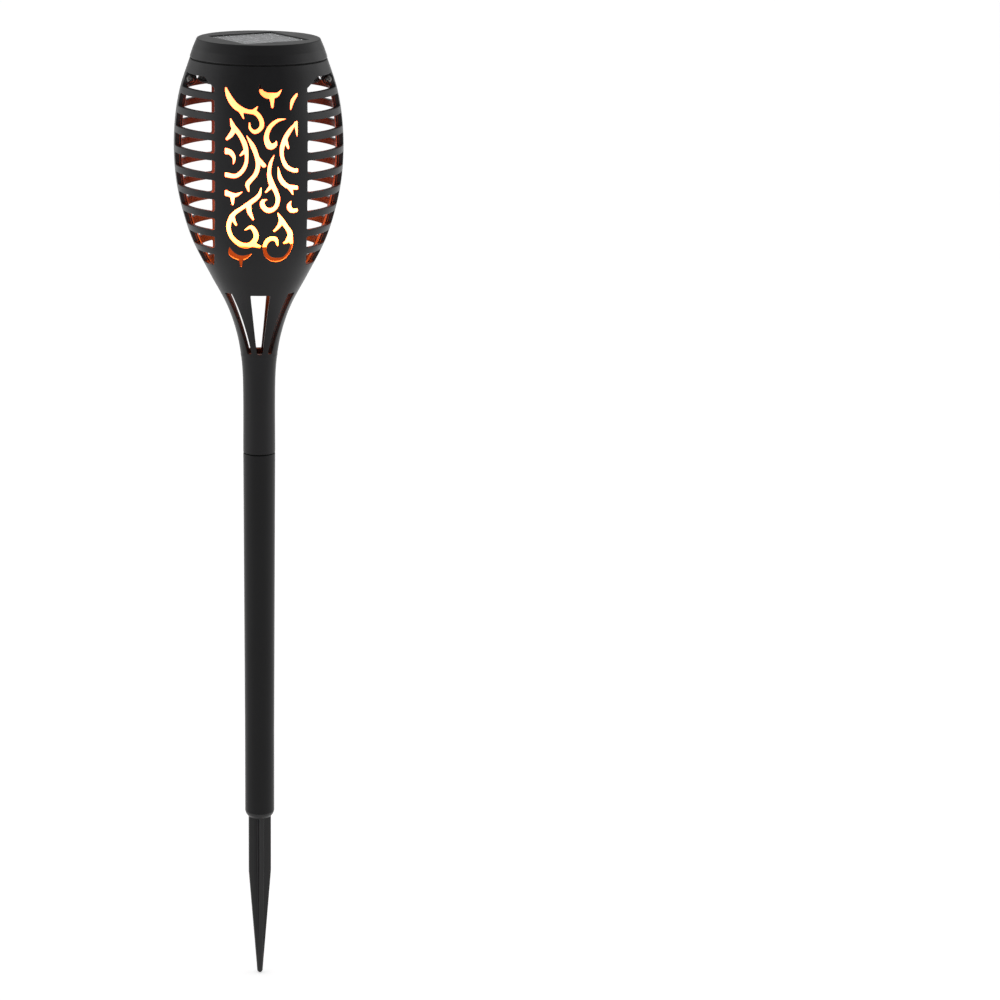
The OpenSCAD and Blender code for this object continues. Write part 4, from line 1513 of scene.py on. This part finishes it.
@dataclass
class Cap:
    """The round cap with its square pocket, its base plate, its gasket and its solar panel."""

    top: float
    low: float
    top_radius: float = 30.1
    rim_radius: float = 33.4
    pocket_half: float = 18.0
    pocket_depth: float = 2.8
    pocket_land: float = 3.2
    plate: float = 1.4
    turn: float = 29.0
    panel_half: float = 17.7
    cover_drop: float = 0.5
    post_ring: float = 25.5
    post_radius: float = 2.5
    screw_rise: float = 3.4
    seal_radii: tuple[float, float] = (31.6, 33.0)
    button_radius: float = 1.9
    button_place: float = 26.0

    def _angles(self) -> np.ndarray:
        """Angles of a ring's points, close together at the square's corners."""
        even = np.linspace(0, 360, 240, endpoint=False)
        near = np.concatenate([-np.geomspace(0.25, 4, 8), [0], np.geomspace(0.25, 4, 8)])
        corners = (self.turn + 45 + 90 * np.arange(4)[:, None] + near).ravel() % 360
        apart = np.abs((even[:, None] - corners[None, :] + 180) % 360 - 180).min(1)
        return np.radians(np.sort(np.concatenate([even[apart > 0.6], corners])))

    def _through(self, rings: Sequence[tuple[np.ndarray, float]]) -> Shape:
        """A closed skin through rings, each given by its radii at the cap's angles and its height."""
        radius = np.array([ring for ring, _ in rings])
        height = np.array([z for _, z in rings])[:, None]
        return lofted(rings_of(radius, self._angles(), height))

    def _square(self, angle: np.ndarray, half: float, corner: float) -> np.ndarray:
        """The radius of a rounded square at angles: its side's, or the corner arc's far crossing."""
        a = (angle - math.radians(self.turn) + math.pi / 4) % (math.pi / 2) - math.pi / 4
        middle = half - corner
        along = middle * (np.cos(a) + np.abs(np.sin(a)))
        arc = along + np.sqrt(np.maximum(along**2 - 2 * middle**2 + corner**2, 0))
        return np.where(half * np.abs(np.tan(a)) <= middle, half / np.cos(a), arc)

    def _shell(self) -> Shape:
        """One skin: pocket floor, pocket wall, top, side, rim and the inside back to the middle."""
        angle = self._angles()
        floor, ceiling = self.top - self.pocket_depth, self.top - self.pocket_depth - self.plate
        square = [(0.02, floor), (0.5, floor), (0.9, floor)]
        rings = [(share * self._square(angle, self.pocket_half, 1.0), z) for share, z in square]
        land = self.pocket_land
        wall = filleted(((-3, floor, 0), (0, floor, 0.3), (0, self.top, 0.4), (land, self.top, 0)), 3)
        rings += [(self._square(angle, self.pocket_half + x, max(1.0 + x, 0.3)), z) for x, z in wall]
        wide = self._square(angle, self.pocket_half + land, 1.0 + land)
        inset = self.top_radius - 1.3
        rings += [(wide + (inset - wide) * share, self.top) for share in (0.35, 0.7)]
        side = filleted(
            (
                (inset, self.top, 0), (self.top_radius - 0.1, self.top, 0.75),
                ((self.top_radius + self.rim_radius) / 2 + 0.25, (self.top + self.low) / 2, 6.0),
                (self.rim_radius, self.low + 0.5, 1.0), (self.rim_radius, self.low, 0.3),
                (self.rim_radius - 2, self.low, 0.3), (self.top_radius - 1.5, ceiling, 0.5),
                (20, ceiling, 0),
            )
        )
        rings += [(radius + 0 * angle, z) for radius, z in side]
        rings.append((0.02 + 0 * angle, ceiling))
        return self._through(rings)

    def _plate(self, half: float, low: float, high: float, round_edge: float) -> Shape:
        """A square plate with rounded corners and edges, turned with the pocket."""
        angle = self._angles()
        side = filleted(((-4, low, 0), (0, low, round_edge), (0, high, round_edge), (-4, high, 0)), 3)
        rings = [(self._square(angle, half + x, max(0.8 + x, 0.2)), z) for x, z in side]
        return self._through(rings)

    def _at_posts(self, shape: Shape) -> list[Shape]:
        """A shape at each of the three posts."""
        return [shape.moved(self.post_ring, 0, 0).turned(a) for a in (30, 150, 270)]

    def build(self) -> None:
        """Makes the cap, its seal, the panel's cover and the screws, and dresses what stays."""
        ceiling = self.top - self.pocket_depth - self.plate
        wide, foot, head = self.post_radius, self.low - 0.4, ceiling + 0.4
        post = filleted(((0, foot, 0), (wide, foot, 0.3), (wide, head, 0), (0, head, 0)))
        shell = Shape.joined([self._shell(), *self._at_posts(turned(post, 40))])
        shell.piece("cap_top", Body.CAP, SHELL, ["cap_shell"], 50.0)
        foot, head, (inner, outer) = foot_of("seal_ring"), top_of("seal_ring"), self.seal_radii
        seal = filleted(
            (
                (32.3, foot, 0), (outer, foot, 0.15), (outer, head, 0.15),
                (inner, head, 0.15), (inner, foot, 0.15), (32.2, foot, 0),
            ),
            3,
        )
        turned(seal, 160).piece("cap_seal", Body.SEAL, SEAL, ["seal_ring"])
        cover = self._plate(self.panel_half, foot_of("solar_cover"), self.top - self.cover_drop, 0.2)
        cover.piece("panel_cover", Body.CAP, COVER, ["solar_cover"])
        seat = foot_of("cap_base") + self.screw_rise
        screw = Screw(length=5.5).shape().turned(180, "X").moved(0, 0, seat)
        Shape.joined(self._at_posts(screw)).piece("cap_screws", Body.CAP, STEEL, ["base_screws"], 25.0)
        dress(SHELL, "cap_base")
        dress(BOARD, "solar_backing", "control_board")
        dress(CELLS, "solar_cells")
        dress(TIN, "solar_busbars")
        dress(CHIP, "board_chip")
        dress(FERRITE, "board_inductor")
        dress(CAN, "board_capacitor")
        dress(SWITCH, "switch_body")
        dress(WIRE_RED, "panel_wire_red", "battery_wire_red")
        dress(WIRE_BLACK, "panel_wire_black", "battery_wire_black")
        wide, foot, head = self.button_radius, foot_of("switch_button"), top_of("switch_button")
        button = turned(filleted(((0, foot, 0), (wide, foot, 0.6), (wide, head, 0.1), (0, head, 0))), 48)
        button.moved(0, self.button_place, 0).piece("push_button", Body.BUTTON, BUTTON, ["switch_button"])


@dataclass
class Flame:
    """The frosted cup, the collar that holds it and the post of light chips in it."""

    cup_radius: float = 21.0
    skin: float = 1.2
    round_radius: float = 4.0
    ear_radius: float = 29.6
    ear_thick: float = 1.3
    ear_rise: float = 1.6
    ear_half: float = math.radians(52)
    screw_place: float = 10.6

    def _ear(self, middle: float, foot: float) -> Shape:
        """A flat ear of the collar: its section carried round through an angle about the middle."""
        inner, outer, high = self.cup_radius + 1.2, self.ear_radius, foot + self.ear_thick
        section = filleted(
            (
                (inner, foot, 0), (outer, foot, 0.4), (outer, high, 0.4),
                (inner, high, 0), (inner, foot + 0.1, 0),
            )
        )
        angle = middle + np.linspace(-self.ear_half, self.ear_half, 49)[:, None]
        return lofted(rings_of(section[:, 0], angle, section[:, 1]))

    def build(self) -> None:
        """Makes the cup and its collar, and dresses the post."""
        low, high, r = foot_of("diffuser"), top_of("diffuser"), self.cup_radius
        cup = filleted(
            (
                (0, low, 0), (r, low, self.round_radius), (r, high, 0.3), (r - self.skin, high, 0.3),
                (r - self.skin, low + self.skin, self.round_radius - self.skin), (0, low + self.skin, 0),
            ),
            8,
        )
        turned(cup, 144).piece("flame_cup", Body.CAP, GLOW, ["diffuser"])
        low, high = foot_of("diffuser_collar"), top_of("diffuser_collar")
        ring = filleted(
            (
                (r + 1, low, 0), (r + 2.2, low, 0.5), (r + 2.2, high, 0.2), (r + 0.1, high, 0.2),
                (r + 0.1, low, 0.3), (r + 0.9, low, 0),
            )
        )
        ears = [self._ear(middle, low + self.ear_rise) for middle in (0.0, math.pi)]
        Shape.joined([turned(ring, 144), *ears]).piece("cup_collar", Body.CAP, COLLAR, ["diffuser_collar"])
        screw = Screw(head_radius=1.7, head_height=1.0, shank_radius=0.9, length=3.2)
        small = screw.shape().turned(180, "X").moved(0, 0, foot_of("post_screws") + screw.head_height)
        pair = Shape.joined([small.moved(hand * self.screw_place, 0, 0) for hand in (1, -1)])
        pair.piece("post_fixings", Body.CAP, STEEL, ["post_screws"], 25.0)
        dress(POST, "led_post", "post_plug")
        dress(FLEX, "led_board")
        dress(LED, "led_chips")
        dress(SLEEVE, "battery")
        dress(SPRING, "battery_spring")
        dress(BRASS, "battery_contact")
        dress(WIRE_WHITE, "led_wires")


@dataclass
class Pole:
    """The hollow pole: straight at its foot, then slightly wider up to the neck."""

    low: float
    high: float
    shank_radius: float = 7.45
    shank_top: float = 45.0
    top_radius: float = 8.0
    bore: float = 6.4

    def build(self) -> None:
        """Turns the pole's section."""
        line = filleted(
            (
                (7.0, self.low, 0), (self.shank_radius, self.low, 0.3),
                (self.shank_radius, self.shank_top, 30.0), (self.top_radius, self.high, 0.4),
                (self.bore, self.high, 0.4), (self.bore, self.low, 0.3), (6.9, self.low, 0),
            )
        )
        turned(line, 128).piece("pole", Body.POLE, POLE, ["pole_tube"])


@dataclass
class Spike:
    """The ground spike: two crossed tapering blades under a collar, and a plug for the pole."""

    tip: float
    blade_half: float = 5.75
    blade_thick: float = 1.2
    straight: float = 30.0
    tip_half: float = 1.4
    turn: float = 9.0
    squareness: float = 10.0
    fillet: float = 0.7
    collar: float = 7.45
    plug: float = 6.35

    def _blades(self) -> Shape:
        """Rings of a rounded cross.

        A blade's section is a superellipse, whose radius at an angle is the inverse p-norm of the
        cosine over the half width and the sine over the half thickness. The cross is the smooth
        maximum of two such blades, and the half width follows the height.
        """
        height = np.concatenate(
            [np.linspace(0.6, -self.straight, 10), np.linspace(-self.straight, self.tip + 1, 30)[1:],
             self.tip + np.array((0.6, 0.3, 0.1, 0.0))]
        )[:, None]
        taper = np.clip((-height - self.straight) / (-self.tip - 1 - self.straight), 0, 1)
        close = np.sqrt(np.clip((height - self.tip) / 1.0, 0.12, 1))
        half = (self.blade_half + (self.tip_half - self.blade_half) * taper) * close
        thick = self.blade_thick * close
        turn, p = math.radians(self.turn), self.squareness
        angle = np.linspace(0, TURN, 288, endpoint=False)[None, :] + turn
        c, s = np.abs(np.cos(angle - turn)), np.abs(np.sin(angle - turn))
        one = ((c / half) ** p + (s / thick) ** p) ** (-1 / p)
        two = ((s / half) ** p + (c / thick) ** p) ** (-1 / p)
        blend = np.maximum(self.fillet - np.abs(one - two), 0) ** 2 / (4 * self.fillet)
        radius = np.minimum(np.maximum(one, two) + blend, half)
        return lofted(rings_of(radius, angle, height))

    def build(self) -> None:
        """Joins the blades to the collar and plug."""
        plug, collar_top, plug_top = self.plug, foot_of("pole_tube"), top_of("ground_spike")
        core = filleted(
            (
                (0, 0, 0), (self.blade_half + 0.1, 0, 0.4), (6.95, 1.5, 1.0), (self.collar, collar_top, 0.3),
                (plug, collar_top, 0.2), (plug, plug_top - 1, 0.4), (plug - 1, plug_top, 0.4),
                (0, plug_top, 0),
            )
        )
        whole = Shape.joined([self._blades(), turned(core, 128)])
        whole.piece("spike", Body.SPIKE, SPIKE, ["ground_spike"])


@dataclass
class Studio:
    """A pale floor, soft lights and the camera."""

    ground: float
    aim: tuple[float, float, float] = (0.0, 0.0, 157.0)
    reach: float = 20000.0
    lines: int = 25
    lamp_place: tuple[float, float, float] = (2200.0, -300.0, 200.0)
    lamp_size: tuple[float, float] = (1200.0, 2000.0)
    lamp_power: float = 10.0

    def _floor(self) -> None:
        """A wide flat sheet."""
        lines = self.lines
        x = np.linspace(-self.reach, self.reach, lines)
        points = np.stack([np.tile(x, lines), np.repeat(x, lines), np.full(lines**2, self.ground)], axis=1)
        a = (np.arange(lines - 1)[:, None] * lines + np.arange(lines - 1)).ravel()
        quads = np.stack([a, a + 1, a + lines + 1, a + lines], axis=1)
        mesh = bpy.data.meshes.new("floor")
        mesh.from_pydata((points * METRE).tolist(), [], quads.tolist())
        mesh.shade_smooth()
        floor = bpy.data.objects.new("floor", mesh)
        bpy.context.scene.collection.objects.link(floor)
        paint = Paint("paper")
        tone = paint.noise(300.0, 2.0)
        mesh.materials.append(
            paint.surface(
                {
                    "Base Color": paint.mix(tone, (0.88, 0.88, 0.88), (0.9, 0.9, 0.9)),
                    "Roughness": 0.9,
                    "Emission Color": WHITE,
                    "Emission Strength": 0.35,
                }
            )
        )

    def _light(self, name: str, hand: int) -> None:
        """A rectangular lamp at one side that faces the aim."""
        lamp = bpy.data.lights.new(name, "AREA")
        lamp.shape = "RECTANGLE"
        lamp.size, lamp.size_y = (side * METRE for side in self.lamp_size)
        lamp.energy = self.lamp_power
        made = bpy.data.objects.new(name, lamp)
        bpy.context.scene.collection.objects.link(made)
        across, depth, height = self.lamp_place
        made.location = Vector((hand * across, depth, height)) * METRE
        made.rotation_euler = (Vector(self.aim) * METRE - made.location).to_track_quat("-Z", "Y").to_euler()

    def _camera(
        self,
        azimuth: float = -2.0,
        distance: float = 1750.0,
        height: float = 614.0,
        down: float = 14.30,
        right: float = 3.96,
        roll: float = 0.9,
        focal: float = 129.2,
        sensor: float = 36.0,
    ) -> None:
        """A camera that looks down on the torch and turns past it to the right."""
        lens = bpy.data.cameras.new("camera")
        lens.lens, lens.sensor_width, lens.clip_end = focal, sensor, 100.0
        made = bpy.data.objects.new("camera", lens)
        bpy.context.scene.collection.objects.link(made)
        turn = math.radians(azimuth)
        made.location = Vector((distance * math.sin(turn), -distance * math.cos(turn), height)) * METRE
        made.rotation_mode = "QUATERNION"
        heading = Matrix.Rotation(turn - math.radians(right), 4, "Z")
        tilt = Matrix.Rotation(math.radians(90 - down), 4, "X")
        lean = Matrix.Rotation(math.radians(roll), 4, "Z")
        made.rotation_quaternion = (heading @ tilt @ lean).to_quaternion()
        bpy.context.scene.camera = made

    def build(self) -> None:
        """Makes the room."""
        self._floor()
        bpy.context.scene.world = Sky("room").soft_boxes(
            front=0.25, behind=0.45, side=1.3, above=0.5, seen=1.2
        )
        for name, hand in (("left", -1), ("right", 1)):
            self._light(name, hand)
        bpy.context.scene.view_settings.view_transform = "Standard"
        self._camera()


def main() -> None:
    """Builds the torch from the cap down, then the room."""
    logging.basicConfig(level=logging.INFO, format="%(name)s: %(message)s")
    Cap(top_of("cap_shell"), foot_of("cap_shell") + 0.4).build()
    Flame().build()
    Cage(top_of("cap_shell"), top_of("front_shell"), top_of("pole_tube") + 0.3).build()
    Pole(foot_of("pole_tube"), top_of("pole_tube")).build()
    Spike(foot_of("ground_spike")).build()
    Studio(foot_of("ground_spike")).build()


if __name__ == "__main__":
    main()
